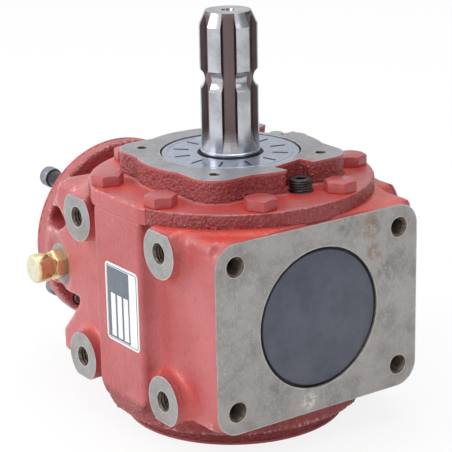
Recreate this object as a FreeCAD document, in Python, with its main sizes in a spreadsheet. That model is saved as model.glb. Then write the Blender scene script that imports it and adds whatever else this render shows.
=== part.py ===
import FreeCAD, Part
import math
import os
import re
import Sketcher
from FreeCAD import Placement, Rotation, Vector

# Right-angle bevel gearbox. Origin: centre of the round base face. +Z is the axis of the splined
# input shaft, +X points out of the rectangular flange, and the output shaft leaves towards -X.

SIZES = [
    # casing
    ("axis_height", 80.0, "height of the output axis above the base"),
    ("base_disc_radius", 68.0, "machined foot disc"),
    ("base_disc_height", 10.0, "height of the foot disc"),
    ("drum_radius", 79.0, "round drum above the foot disc"),
    ("box_floor", 24.0, "underside of the box"),
    ("deck_height", 137.5, "top face of the casing, under the cover"),
    ("box_back", 84.6, "end of the box towards the neck, measured from the input axis"),
    ("box_half_width", 72.9, "side walls"),
    ("box_edge_radius", 5.0, "cast rounding along the box edges"),
    ("cavity_radius", 64.0, "gear chamber and opening under the cover"),
    ("cavity_floor", 28.0, "floor of the gear chamber"),
    ("bore_radius", 42.5, "seat of every bearing cup, seal and cap"),
    ("shoulder_radius", 38.5, "lip that a cup rests against"),
    ("shoulder_width", 2.0, "thickness of the lip under the lower cup"),
    # rectangular flange
    ("flange_face", 86.4, "machined face of the flange, from the input axis"),
    ("flange_slab", 10.4, "thickness of the flange slab"),
    ("flange_width", 145.8, "flange across"),
    ("flange_tall", 114.0, "flange height"),
    ("flange_corner", 14.0, "flange corner radius"),
    ("flange_span_y", 118.0, "tapped holes, across"),
    ("flange_span_z", 86.6, "tapped holes, upright"),
    ("flange_hole_radius", 5.1, "tapping drill for M12"),
    ("flange_hole_depth", 22.0, "depth of the tapped holes"),
    ("side_seat_depth", 7.0, "depth of the cap seat in the flange"),
    ("side_opening_extra", 1.0, "the opening behind that seat is wider than the cups' lips"),
    # side pads and bosses
    ("pad_reach", 82.5, "machined face of the side pads"),
    ("pad_half_width", 25.5, "half width of the pads"),
    ("pad_bottom", 18.5, "lower edge of the pads"),
    ("pad_fillet", 8.0, "fillet from the pad sides to the wall"),
    ("pad_corner", 13.0, "lower corner radius of the pads"),
    ("boss_reach", 82.0, "machined face of the round bosses"),
    ("boss_radius", 15.3, "round bosses"),
    ("boss_span", 90.0, "boss spacing, both ways"),
    ("boss_shift", -0.75, "the boss pattern sits this far along X"),
    ("boss_trim", 21.5, "lower end of the trimmed bosses"),
    ("boss_hole_radius", 5.9, "tapping drill for M14"),
    ("boss_hole_depth", 22.0, "depth of the tapped holes"),
    # neck with the ring flange
    ("ring_radius", 62.5, "round flange on the neck"),
    ("ring_front", 122.7, "inner face of the ring flange, from the input axis"),
    ("ring_back", 132.7, "outer face of the ring flange"),
    ("neck_root_radius", 88.0, "cone that rounds the neck corners, at the box end"),
    ("neck_ring_half", 46.0, "half height of the neck at the ring"),
    ("tube_radius", 49.0, "tube that holds the output bearings"),
    ("top_window_half", 43.5, "half width of the windows over and under the tube"),
    ("window_root", 62.0, "inner tip of the lower side windows, from the input axis"),
    ("window_tip_rise", 13.0, "depth of that tip under the axis"),
    ("window_heel", 66.0, "inner corner of the lower side windows, from the input axis"),
    ("window_heel_rise", 20.0, "depth of that corner under the axis"),
    ("upper_tip", 76.0, "inner tip of the upper side windows, from the input axis"),
    ("upper_tip_rise", 31.0, "height of that tip over the axis"),
    ("upper_bend", 90.0, "bend of the upper windows' lower edge, from the input axis"),
    ("upper_bend_rise", 22.5, "height of that bend over the axis"),
    ("arm_rise", 40.0, "inner edge of the corner arms at the box end, from the axis"),
    ("arm_ring_rise", 30.3, "inner edge of the upper corner arms at the ring, from the axis"),
    ("side_arm_rise", 18.0, "half height of the side arm at the ring"),
    ("ring_screw_circle", 54.0, "radius of the screw circle on the ring"),
    ("ring_hole_radius", 4.3, "screw holes in the ring"),
    # cover
    ("cover_radius", 86.0, "round plate of the cover"),
    ("cover_plate_top", 147.6, "top of the round plate"),
    ("cover_top", 162.2, "machined top face"),
    ("cover_bottom", 130.0, "lower end of the spigot"),
    ("spigot_play", 0.2, "spigot play in the opening"),
    ("cover_square_half", 52.6, "half width of the four-lobed body"),
    ("cover_lobe_radius", 15.8, "lobe radius"),
    ("cover_round", 57.0, "round part of the body between the lobes"),
    ("cover_hole_circle", 54.25, "radius of the tapped hole circle in the lobes"),
    ("cover_hole_radius", 3.4, "tapping drill for M8"),
    ("cover_hole_depth", 14.0, "depth of the M8 holes"),
    ("notch_depth_radius", 45.6, "bottom of the notches, from the shaft axis"),
    ("notch_width", 23.0, "width of the notches"),
    ("plug_notch_angle", 11.0, "direction of the notch with the socket plug"),
    ("vent_notch_angle", 114.0, "direction of the notch with the vent"),
    ("notch_hole_circle", 56.0, "distance of plug and vent from the shaft axis"),
    # cover bolts
    ("bolt_circle", 75.0, "radius of the cover bolt circle"),
    ("bolt_radius", 4.9, "M10 thread, drawn with its play"),
    ("bolt_hole_play", 0.1, "play of the thread in its tapped hole"),
    ("bolt_clearance", 0.6, "play of the bolts in the cover"),
    ("bolt_flats", 17.0, "hexagon across flats"),
    ("bolt_head", 6.4, "head height"),
    ("bolt_grip", 15.0, "thread in the casing"),
    ("bolt_hole_spare", 3.0, "depth of the tapped hole past the bolt's end"),
    # taper roller bearing, 45 x 85 x 20.75
    ("cone_bore", 22.5, "inner ring bore radius"),
    ("cone_width", 19.0, "inner ring width"),
    ("cup_width", 16.0, "outer ring width"),
    ("bearing_width", 20.75, "width over both rings"),
    ("cup_angle", 14.7, "raceway angle of the outer ring"),
    ("roller_half_angle", 2.0, "half the taper of a roller"),
    ("cup_mean_radius", 36.5, "outer raceway at mid width"),
    ("cone_rib_radius", 30.5, "large rib of the inner ring"),
    ("cone_rib_width", 2.2, "width of the large rib"),
    ("roller_length", 13.6, "length of a roller"),
    ("roller_play", 0.04, "play between rollers and raceways"),
    ("roller_rib_play", 0.15, "play between rollers and the large rib"),
    ("roller_count", 12.0, "rollers in a bearing"),
    ("bearing_lead", 1.5, "lead chamfer where a bearing is pushed on"),
    # shafts
    ("spline_radius", 17.4, "1 3/8 inch spline, outer radius"),
    ("spline_root", 14.5, "spline root radius"),
    ("spline_tooth", 8.69, "width of a spline tooth"),
    ("spline_phase", 25.0, "direction of the first spline gap"),
    ("spline_clear", 2.0, "the gap cutter reaches this far past the teeth"),
    ("runout_rise", 0.9, "rise of the spline floor in the first part of its run-out"),
    ("runout_skin", 0.05, "the run-out ends this far under the tooth tops"),
    ("runout_gap", 0.6, "plain length between the run-out and the collar"),
    ("shaft_core", 25.0, "shaft radius between the input bearings"),
    ("seal_seat", 17.5, "shaft radius under the seals"),
    ("seal_seat_extra", 1.0, "the output shaft's seal seat ends this far outside the ring"),
    ("shaft_top", 247.2, "end face of the input shaft"),
    ("shaft_chamfer_length", 8.2, "long chamfer at the end"),
    ("shaft_chamfer_depth", 3.7, "depth of that chamfer"),
    ("collar_low", 161.9, "lower edge of the collar below the spline"),
    ("collar_high", 164.0, "upper edge of the collar"),
    ("collar_radius", 18.0, "collar radius"),
    ("collar_chamfer", 0.5, "collar edge chamfers"),
    ("seal_lead", 2.0, "taper from the bearing seat up to the seal seat"),
    ("runout_start", 178.0, "spline floor starts to rise here"),
    ("lock_groove_height", 207.0, "middle of the locking groove"),
    ("lock_groove_half", 5.8, "half width of the locking groove"),
    ("lock_groove_depth", 2.8, "depth of the locking groove"),
    ("centre_radius", 4.0, "mouth of the centre drilling"),
    ("centre_depth", 7.0, "depth of the centre drilling"),
    ("lower_cone_gap", 1.0, "shaft end above the lip under the lower cup"),
    ("output_end", 177.7, "end face of the output shaft, from the input axis"),
    ("output_chamfer", 2.0, "chamfer at the output end"),
    ("output_spline_start", 146.0, "full spline depth starts here"),
    ("output_runout", 7.0, "length of the run-out"),
    ("nut_seat", 20.0, "thread radius for the lock nut"),
    ("inner_cone_face", 63.0, "back face of the inner output bearing, from the input axis"),
    ("pinion_collar", 4.5, "height of the collar between the pinion and its bearing"),
    ("pinion_collar_width", 3.0, "width of that collar"),
    ("pinion_gap", 2.0, "the pinion blank ends this far from the bearing"),
    ("cup_gap", 12.5, "width of the lip between the output cups"),
    ("running_play", 0.05, "play of the seal lips on the shafts"),
    # bevel gears
    ("module_size", 4.0, "tooth module at the outer end"),
    ("pinion_teeth", 15.0, "teeth of the pinion"),
    ("crown_teeth", 29.0, "teeth of the crown gear"),
    ("face_width", 20.0, "tooth length"),
    ("pressure_angle", 20.0, "tooth pressure angle"),
    ("addendum_shift", 0.2, "long and short addendum, in modules"),
    ("tooth_play", 0.25, "backlash at the outer end"),
    ("blank_margin", 0.6, "the root cone goes on this far past both ends of the teeth"),
    ("root_depth", 1.25, "depth of the tooth gaps under the pitch line, in modules"),
    ("tooth_sink", 0.2, "how deep the teeth are rooted in the blank, in modules"),
    ("crown_heel_step", 2.0, "the rim's back edge lies this far inside its outer edge"),
    ("crown_back", 36.0, "back face of the crown gear rim"),
    ("crown_hub_radius", 34.0, "hub of the crown gear"),
    ("crown_hub_top", 58.0, "top of the hub"),
    ("key_width", 14.0, "key"),
    ("key_height", 9.0, "key"),
    ("key_length", 22.0, "key"),
    ("key_depth", 5.5, "key seat in the shaft"),
    ("spacer_wall", 5.5, "wall of the sleeve above the crown gear"),
    # small parts
    ("cap_thick", 6.0, "blanking caps"),
    ("cap_chamfer", 1.2, "cap edge chamfer"),
    ("seal_thick", 9.9, "input shaft seal"),
    ("seal_recess", 0.6, "seal face below the cover face"),
    ("cup_lip", 3.0, "lip between the seal and the upper cup"),
    ("seal_web", 4.0, "thickness of the seals' outer wall"),
    ("seal_rim", 4.0, "thickness of the seals' rims at bore and shaft"),
    ("output_seal_thick", 6.8, "output shaft seal"),
    ("output_seal_recess", 0.4, "that seal's face inside the ring's face"),
    ("nut_radius", 29.0, "lock nut"),
    ("nut_thick", 8.0, "lock nut"),
    ("nut_slot_depth", 3.0, "depth of its spanner slots"),
    ("nut_slot_width", 6.0, "width of its spanner slots"),
    ("plate_width", 35.5, "nameplate"),
    ("plate_tall", 48.5, "nameplate"),
    ("plate_thick", 0.6, "nameplate"),
    ("plate_corner", 3.0, "nameplate corners"),
    ("plate_shift_x", 4.8, "nameplate centre"),
    ("plate_shift_z", 2.3, "nameplate centre above the axis"),
    ("socket_plug_radius", 7.0, "socket plug thread"),
    ("socket_plug_top", 155.0, "top of the socket plug"),
    ("socket_flats", 6.0, "hexagon socket"),
    ("socket_depth", 5.0, "depth of the sockets"),
    ("vent_radius", 5.5, "vent stub"),
    ("vent_top", 160.0, "top of the vent stub"),
    ("vent_chamfer", 1.5, "chamfer at its top"),
    ("level_plug_place", 93.5, "oil level plug, from the input axis"),
    ("level_spot_radius", 11.0, "spot face under the level plug"),
    ("level_spot", 67.5, "spot face, from the middle plane"),
    ("level_hex_flats", 17.0, "hexagon of the level plug"),
    ("level_hex_end", 75.3, "end of that hexagon"),
    ("level_neck_radius", 7.4, "neck between hexagon and cap"),
    ("level_neck_end", 78.2, "end of the neck"),
    ("level_cap_radius", 9.2, "cap of the level plug"),
    ("level_end", 88.0, "outer face of the level plug"),
    ("level_chamfer", 1.0, "chamfer at that face"),
    ("level_thread_radius", 6.5, "thread of the level plug"),
    ("level_thread_end", 52.0, "inner end of that thread"),
    ("ring_spacer_radius", 5.35, "sleeve under a ring screw"),
    ("ring_spacer_end", 150.0, "outer end of the sleeves"),
    ("ring_screw_radius", 4.0, "M8 thread"),
    ("ring_screw_head", 6.6, "M8 head radius"),
    ("ring_head_end", 158.0, "outer face of the heads"),
    # working margins
    ("cut_margin", 1.0, "cutters run on this far past the faces they open"),
    ("fuse_margin", 1.0, "pieces of one casting reach this far into each other"),
]
RUNOUT_SHARE = 0.55

doc = FreeCAD.newDocument("Gearbox")
sheet = doc.addObject("Spreadsheet::Sheet", "Sizes")
for row, (alias, value, note) in enumerate(SIZES, 1):
    sheet.set(f"A{row}", note)
    sheet.set(f"B{row}", str(value))
    sheet.setAlias(f"B{row}", alias)
doc.recompute()

ALIASES = sorted((entry[0] for entry in SIZES), key=len, reverse=True)
ALIAS_WORD = re.compile(r"\b(" + "|".join(ALIASES) + r")\b")

# Heights and distances that follow from the sizes above.
UPPER_CUP_BACK = "(cover_top - seal_recess - seal_thick - cup_lip)"
UPPER_CONE_BACK = f"({UPPER_CUP_BACK} - bearing_width)"
LOWER_CUP_BACK = "(cap_thick + shoulder_width)"
LOWER_CONE_BACK = f"({LOWER_CUP_BACK} + bearing_width)"
INNER_CUP_BACK = "(inner_cone_face + bearing_width)"
OUTER_CUP_BACK = f"({INNER_CUP_BACK} + cup_gap)"
OUTER_CONE_BACK = f"({OUTER_CUP_BACK} + bearing_width)"


def bound(text):
    """Expression text with every size name pointed at the sheet."""
    return ALIAS_WORD.sub(r"Sizes.\1", text)


def size(text):
    """Number that an expression of size names gives."""
    return float(sheet.evalExpression(bound(text)))


def tie(obj, prop, text):
    """Bind a property to an expression of size names."""
    obj.setExpression(prop, bound(text))


# Sketches

PLANES = {
    "XY": ("XY_Plane", "z"),
    "XZ": ("XZ_Plane", "y"),
    "YZ": ("YZ_Plane", "x"),
}
PLANE_TURN = {
    "XY": Rotation(),
    "XZ": Rotation(Vector(1, 0, 0), 90),
    "YZ": Rotation(Vector(1, 1, 1), 120),
}


def free_sketch(name, plane, offset="0"):
    """Sketch on a plane of the part's own frame, moved along the plane's normal axis."""
    sk = doc.addObject("Sketcher::SketchObject", name)
    sk.Placement = Placement(Vector(), PLANE_TURN[plane])
    tie(sk, "Placement.Base." + PLANES[plane][1], offset)
    return sk


def body_sketch(body, name, plane, offset="0"):
    """Sketch on one of the body's origin planes, lifted by an offset along its normal."""
    sk = body.newObject("Sketcher::SketchObject", name)
    role = PLANES[plane][0]
    sk.AttachmentSupport = [(f, "") for f in body.Origin.OriginFeatures if f.Role == role]
    sk.MapMode = "FlatFace"
    tie(sk, "AttachmentOffset.Base.z", offset)
    return sk


def place_point(sk, element, end, x, y):
    """Fix one point of a sketch element by expressions of its two coordinates."""
    for kind, text, axis in (("DistanceX", x, -2), ("DistanceY", y, -1)):
        if text == "0":
            sk.addConstraint(Sketcher.Constraint("PointOnObject", element, end, axis))
            continue
        index = sk.addConstraint(Sketcher.Constraint(kind, -1, 1, element, end, size(text)))
        tie(sk, f"Constraints[{index}]", text)


def polygon(sk, points):
    """Closed outline whose corners are pairs of expressions."""
    spots = [Vector(size(x), size(y), 0) for x, y in points]
    first = sk.GeometryCount
    count = len(points)
    for i in range(count):
        sk.addGeometry(Part.LineSegment(spots[i], spots[(i + 1) % count]), False)
    for i in range(count):
        joint = (first + i, 2, first + (i + 1) % count, 1)
        sk.addConstraint(Sketcher.Constraint("Coincident", *joint))
    for i, (x, y) in enumerate(points):
        place_point(sk, first + i, 1, x, y)
    return sk


def circle(sk, x, y, radius):
    """Circle with its centre and radius bound."""
    shape = Part.Circle(Vector(size(x), size(y), 0), Vector(0, 0, 1), size(radius))
    index = sk.addGeometry(shape, False)
    place_point(sk, index, 3, x, y)
    rule = sk.addConstraint(Sketcher.Constraint("Radius", index, size(radius)))
    tie(sk, f"Constraints[{rule}]", radius)
    return sk


def rounded_rectangle(sk, x0, x1, y0, y1, radius):
    """Rectangle between two pairs of sides with equal rounded corners."""
    left, right, low, high = size(x0), size(x1), size(y0), size(y1)
    r = size(radius)
    corners = [(right - r, low + r), (right - r, high - r), (left + r, high - r), (left + r, low + r)]
    starts = [(left + r, low), (right, low + r), (right - r, high), (left, high - r)]
    ends = [(right - r, low), (right, high - r), (left + r, high), (left, low + r)]
    first = sk.GeometryCount
    for i in range(4):
        sk.addGeometry(Part.LineSegment(Vector(*starts[i], 0), Vector(*ends[i], 0)), False)
        turn = math.radians(90 * (i - 1))
        ring = Part.Circle(Vector(*corners[i], 0), Vector(0, 0, 1), r)
        sk.addGeometry(Part.ArcOfCircle(ring, turn, turn + math.pi / 2), False)
    for i in range(8):
        joint = (first + i, 2, first + (i + 1) % 8, 1)
        sk.addConstraint(Sketcher.Constraint("Tangent", *joint))
    for i in range(3):
        sk.addConstraint(Sketcher.Constraint("Equal", first + 1, first + 3 + 2 * i))
    for i, kind in enumerate(("Horizontal", "Vertical", "Horizontal", "Vertical")):
        sk.addConstraint(Sketcher.Constraint(kind, first + 2 * i))
    rule = sk.addConstraint(Sketcher.Constraint("Radius", first + 1, r))
    tie(sk, f"Constraints[{rule}]", radius)
    sides = (("DistanceY", 0, y0), ("DistanceX", 2, x1), ("DistanceY", 4, y1), ("DistanceX", 6, x0))
    for kind, element, text in sides:
        rule = sk.addConstraint(Sketcher.Constraint(kind, -1, 1, first + element, 1, size(text)))
        tie(sk, f"Constraints[{rule}]", text)
    return sk


# Solids from sketches and primitives

AXES = {"X": Vector(1, 0, 0), "Y": Vector(0, 1, 0), "Z": Vector(0, 0, 1)}
AXIS_TURN = {
    "X": Rotation(Vector(0, 1, 0), 90),
    "Y": Rotation(Vector(1, 0, 0), -90),
    "Z": Rotation(),
}


def extrude(name, sk, axis, length, back="0"):
    """Solid swept from a free sketch along an axis, forwards and backwards."""
    solid = doc.addObject("Part::Extrusion", name)
    solid.Base = sk
    solid.DirMode = "Custom"
    solid.Dir = AXES[axis]
    solid.Solid = True
    tie(solid, "LengthFwd", length)
    tie(solid, "LengthRev", back)
    return solid


def cylinder(name, axis, x, y, z, radius, length):
    """Cylinder that starts at a point and runs along an axis."""
    solid = doc.addObject("Part::Cylinder", name)
    solid.Placement = Placement(Vector(), AXIS_TURN[axis])
    tie(solid, "Radius", radius)
    tie(solid, "Height", length)
    for letter, text in zip("xyz", (x, y, z)):
        tie(solid, "Placement.Base." + letter, text)
    return solid


def block(name, x0, x1, y0, y1, z0, z1):
    """Box between three pairs of planes."""
    solid = doc.addObject("Part::Box", name)
    pairs = (("x", "Length", x0, x1), ("y", "Width", y0, y1), ("z", "Height", z0, z1))
    for letter, prop, low, high in pairs:
        tie(solid, "Placement.Base." + letter, low)
        tie(solid, prop, f"({high}) - ({low})")
    return solid


def fuse(name, shapes):
    """Union of several objects."""
    solid = doc.addObject("Part::MultiFuse", name)
    solid.Shapes = shapes
    solid.Refine = True
    return solid


def cut(name, base, tool):
    """One object with another taken away."""
    solid = doc.addObject("Part::Cut", name)
    solid.Base = base
    solid.Tool = tool
    solid.Refine = True
    return solid


def common(name, shapes):
    """What several objects share."""
    solid = doc.addObject("Part::MultiCommon", name)
    solid.Shapes = shapes
    return solid


def new_body(name):
    """Empty body with its label."""
    body = doc.addObject("PartDesign::Body", name)
    body.Label = name
    return body


def turned(body, name, points, plane="XZ", axis="V_Axis", cutting=False):
    """Feature of revolution from an outline of expressions: radius and place along the axis."""
    sk = polygon(body_sketch(body, name + "_profile", plane), points)
    kind = "PartDesign::Groove" if cutting else "PartDesign::Revolution"
    feature = body.newObject(kind, name)
    feature.Profile = sk
    feature.ReferenceAxis = (sk, [axis])
    feature.Angle = 360
    doc.recompute()
    return feature


def body_pocket(body, name, sk, length, upwards=False):
    """Pocket of a body sketch, downwards unless told otherwise, that must take material away."""
    before = body.Shape.Volume
    pocket = body.newObject("PartDesign::Pocket", name)
    pocket.Profile = sk
    pocket.Reversed = upwards
    tie(pocket, "Length", length)
    doc.recompute()
    if body.Shape.Volume > before - 1e-3:
        raise RuntimeError(f"pocket {name} cuts nothing")
    return pocket


def body_polar(body, name, features, count):
    """Copies of features around the body's Z axis."""
    pattern = body.newObject("PartDesign::PolarPattern", name)
    pattern.Originals = features
    pattern.Axis = ([f for f in body.Origin.OriginFeatures if f.Role == "Z_Axis"][0], [""])
    pattern.Angle = 360
    pattern.Occurrences = count
    body.Tip = pattern
    doc.recompute()
    return pattern


def group(label, source, places):
    """Separate copies of one solid as one node."""
    node = doc.addObject("Part::Feature", label)
    solids = []
    for place in places:
        solid = source.Shape.copy()
        solid.Placement = place.multiply(solid.Placement)
        solids.append(solid)
    node.Shape = Part.Compound(solids)
    node.Label = label
    return node


def frustum(low, high):
    """Solid with flat sides between two outlines of equal corner count."""
    count = len(low)
    faces = [Part.Face(Part.makePolygon(ring + ring[:1])) for ring in (low, high)]
    for i in range(count):
        after = (i + 1) % count
        side = [low[i], low[after], high[after], high[i]]
        faces.append(Part.Face(Part.makePolygon(side + side[:1])))
    shell = Part.makeShell(faces)
    shell.sewShape()
    solid = Part.makeSolid(shell)
    if solid.Volume < 0:
        solid.reverse()
    return solid


def at_angle(radius, degrees):
    """The x and y expressions of a point given by radius and direction."""
    return f"({radius}) * cos({degrees})", f"({radius}) * sin({degrees})"


def onto_output_axis():
    """Placement that lays local +Z along -X, on the output axis."""
    return Placement(Vector(0, 0, size("axis_height")), Rotation(Vector(0, 1, 0), -90))


# Casing

def make_casing():
    """Box, flange, drum, pads, bosses and open neck as one casting, then its bores and holes."""
    box = extrude("box", rounded_rectangle(
        free_sketch("box_outline", "YZ", "-box_back"),
        "-box_half_width", "box_half_width", "box_floor", "deck_height",
        "box_edge_radius"), "X", "box_back + flange_face - flange_slab / 2")
    flange = extrude("flange", rounded_rectangle(
        free_sketch("flange_outline", "YZ", "flange_face - flange_slab"),
        "-flange_width / 2", "flange_width / 2",
        "axis_height - flange_tall / 2", "axis_height + flange_tall / 2",
        "flange_corner"), "X", "flange_slab")
    drum = cylinder("drum", "Z", "0", "0", "base_disc_height", "drum_radius",
                    "box_floor + box_edge_radius - base_disc_height")
    foot = cylinder("foot", "Z", "0", "0", "0", "base_disc_radius", "base_disc_height + fuse_margin")
    outside = fuse("casing_outside", [box, flange, drum, foot, make_pads(), make_bosses(),
                                      make_neck_shell()])
    windows = fuse("side_windows", [upper_window(), lower_window()])
    opened = cut("casing_opened", outside, windows)
    tube = cylinder("neck_tube", "X", "-ring_front", "0", "axis_height", "tube_radius",
                    "ring_front - window_root + fuse_margin")
    ring = cylinder("ring_flange", "X", "-ring_back", "0", "axis_height", "ring_radius",
                    "ring_back - ring_front")
    rough = fuse("rough_casing", [opened, tube, ring])
    casing = cut("housing", rough, fuse("casing_voids", make_casing_voids()))
    casing.Label = "housing"
    return casing


def make_pads():
    """Machined pads on both sides, with filleted flanks and rounded lower corners."""
    face = rounded_rectangle(
        free_sketch("pad_face", "XZ", "pad_reach"),
        "-pad_half_width", "pad_half_width",
        "pad_bottom", "deck_height + pad_corner", "pad_corner")
    pieces = [extrude("pad_block", face, "Y", "0", "2 * pad_reach")]
    for sx in ("1", "-1"):
        for sy in ("1", "-1"):
            pieces.append(pad_flank(sx, sy))
    return fuse("pads", pieces)


def pad_flank(sx, sy):
    """Concave fillet between one side of a pad and the wall."""
    sides = {
        "1": "pad_half_width - fuse_margin", "-1": "-pad_half_width - pad_fillet",
    }
    walls = {
        "1": "box_half_width - fuse_margin", "-1": "-box_half_width - pad_fillet",
    }
    strip = block(
        "flank_strip", sides[sx], f"{sides[sx]} + pad_fillet + fuse_margin",
        walls[sy], f"{walls[sy]} + pad_fillet + fuse_margin",
        "pad_bottom + pad_corner", "deck_height")
    hollow = cylinder(
        "flank_hollow", "Z", f"{sx} * (pad_half_width + pad_fillet)",
        f"{sy} * (box_half_width + pad_fillet)", "pad_bottom", "pad_fillet", "deck_height")
    return cut("pad_flank", strip, hollow)


def boss_centres():
    """Expressions of the four boss axes: x and z."""
    return [
        (f"boss_shift + {sx} * boss_span / 2", f"axis_height + {sz} * boss_span / 2")
        for sx in ("1", "-1") for sz in ("1", "-1")
    ]


def make_bosses():
    """Four round bosses that run through to both sides, trimmed at deck and bottom."""
    rods = []
    for x, z in boss_centres():
        rods.append(cylinder("boss", "Y", x, "-boss_reach", z, "boss_radius", "2 * boss_reach"))
    slab = block("boss_trim_slab", "-box_back", "flange_face", "-boss_reach", "boss_reach",
                 "boss_trim", "deck_height")
    return common("bosses", [fuse("boss_rods", rods), slab])


def make_neck_shell():
    """Neck shell that tapers from the box to the ring, open above and below the tube."""
    wedge = doc.addObject("Part::Wedge", "neck_wedge")
    wedge.Placement = Placement(Vector(), Rotation(Vector(0, 0, 1), 90))
    tie(wedge, "Placement.Base.x", "-box_back")
    tie(wedge, "Placement.Base.z", "axis_height")
    sides = {
        "Xmin": "-box_half_width", "Xmax": "box_half_width",
        "Ymin": "0", "Ymax": "ring_front - box_back",
        "Zmin": "box_floor - axis_height", "Zmax": "deck_height - axis_height",
        "X2min": "-ring_radius", "X2max": "ring_radius",
        "Z2min": "-neck_ring_half", "Z2max": "neck_ring_half",
    }
    for prop, text in sides.items():
        tie(wedge, prop, text)
    cone = doc.addObject("Part::Cone", "neck_cone")
    cone.Placement = Placement(Vector(), Rotation(Vector(0, 1, 0), -90))
    tie(cone, "Placement.Base.x", "-box_back")
    tie(cone, "Placement.Base.z", "axis_height")
    tie(cone, "Radius1", "neck_root_radius")
    tie(cone, "Radius2", "ring_radius")
    tie(cone, "Height", "ring_front - box_back")
    shell = common("neck_shell", [wedge, cone])
    top_window = block("top_window", "-ring_front", "-box_back",
                       "-top_window_half", "top_window_half", "0", "deck_height + cut_margin")
    return cut("neck_opened", shell, top_window)


def side_window(name, sign, corners):
    """Prism that opens the neck from side to side; corners give distance and rise or depth."""
    points = [(f"-{x}", f"axis_height + {sign} * ({z})") for x, z in corners]
    sk = polygon(free_sketch(name + "_outline", "XZ", "box_half_width + cut_margin"), points)
    return extrude(name, sk, "Y", "0", "2 * (box_half_width + cut_margin)")


def upper_window():
    """Window between the side arm and the upper corner arm."""
    return side_window("upper_window", "1", [
        ("upper_tip", "upper_tip_rise"),
        ("upper_bend", "upper_bend_rise"),
        ("ring_front", "side_arm_rise"),
        ("ring_front", "arm_ring_rise"),
        ("box_back", "arm_rise"),
    ])


def lower_window():
    """Opening under the side arm: the neck has no lower corner arms."""
    below = "axis_height - box_floor + cut_margin"
    return side_window("lower_window", "-1", [
        ("window_root", "window_tip_rise"),
        ("ring_front", "side_arm_rise"),
        ("ring_front", below),
        ("box_back", below),
        ("box_back", "arm_rise"),
        ("window_heel", "window_heel_rise"),
    ])


def make_casing_voids():
    """Gear chamber, bearing bores, cap seats and every hole of the casing."""
    return [
        block("above_deck", "-box_back", "flange_face", "-pad_reach - cut_margin",
              "pad_reach + cut_margin", "deck_height", "cover_top"),
        cylinder("gear_chamber", "Z", "0", "0", "cavity_floor", "cavity_radius", "deck_height"),
        cylinder("base_cap_seat", "Z", "0", "0", "-cut_margin", "bore_radius",
                 "cut_margin + cap_thick"),
        cylinder("base_lip_bore", "Z", "0", "0", "0", "shoulder_radius", "cavity_floor"),
        cylinder("lower_cup_seat", "Z", "0", "0", LOWER_CUP_BACK, "bore_radius", "cavity_floor"),
        cylinder("side_cap_seat", "X", "flange_face - side_seat_depth", "0", "axis_height",
                 "bore_radius", "side_seat_depth + cut_margin"),
        cylinder("side_lip_bore", "X", "0", "0", "axis_height",
                 "shoulder_radius + side_opening_extra", "flange_face"),
        cylinder("inner_cup_seat", "X", "-" + INNER_CUP_BACK, "0", "axis_height", "bore_radius",
                 INNER_CUP_BACK),
        cylinder("output_lip_bore", "X", "-ring_back", "0", "axis_height", "shoulder_radius",
                 "ring_back"),
        cylinder("outer_cup_seat", "X", "-ring_back - cut_margin", "0", "axis_height",
                 "bore_radius", f"ring_back + cut_margin - {OUTER_CUP_BACK}"),
        cylinder("level_spot_face", "Y", "-level_plug_place", "-box_half_width - cut_margin",
                 "axis_height", "level_spot_radius", "box_half_width + cut_margin - level_spot"),
        cylinder("level_hole", "Y", "-level_plug_place", "-level_spot - cut_margin", "axis_height",
                 "level_thread_radius + running_play",
                 "level_spot + cut_margin - shoulder_radius / 2"),
    ] + casing_holes()


def casing_holes():
    """Tapped holes of bosses, flange, deck and the screw holes of the ring."""
    holes = []
    for x, z in boss_centres():
        for start in ("-boss_reach - cut_margin", "boss_reach - boss_hole_depth"):
            holes.append(cylinder("boss_hole", "Y", x, start, z, "boss_hole_radius",
                                  "boss_hole_depth + cut_margin"))
    for sy in ("1", "-1"):
        for sz in ("1", "-1"):
            holes.append(cylinder(
                "flange_hole", "X", "flange_face - flange_hole_depth",
                f"{sy} * flange_span_y / 2", f"axis_height + {sz} * flange_span_z / 2",
                "flange_hole_radius", "flange_hole_depth + cut_margin"))
    for angle in BOLT_ANGLES:
        x, y = at_angle("bolt_circle", angle)
        holes.append(cylinder("bolt_hole", "Z", x, y, "deck_height - bolt_grip - bolt_hole_spare",
                              "bolt_radius + bolt_hole_play",
                              "bolt_grip + bolt_hole_spare + cut_margin"))
    for angle in RING_ANGLES:
        y, z = at_angle("ring_screw_circle", angle)
        holes.append(cylinder("ring_hole", "X", "-ring_back - cut_margin", y, f"axis_height + {z}",
                              "ring_hole_radius", "ring_back - ring_front + 2 * cut_margin"))
    return holes


# Cover

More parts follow.
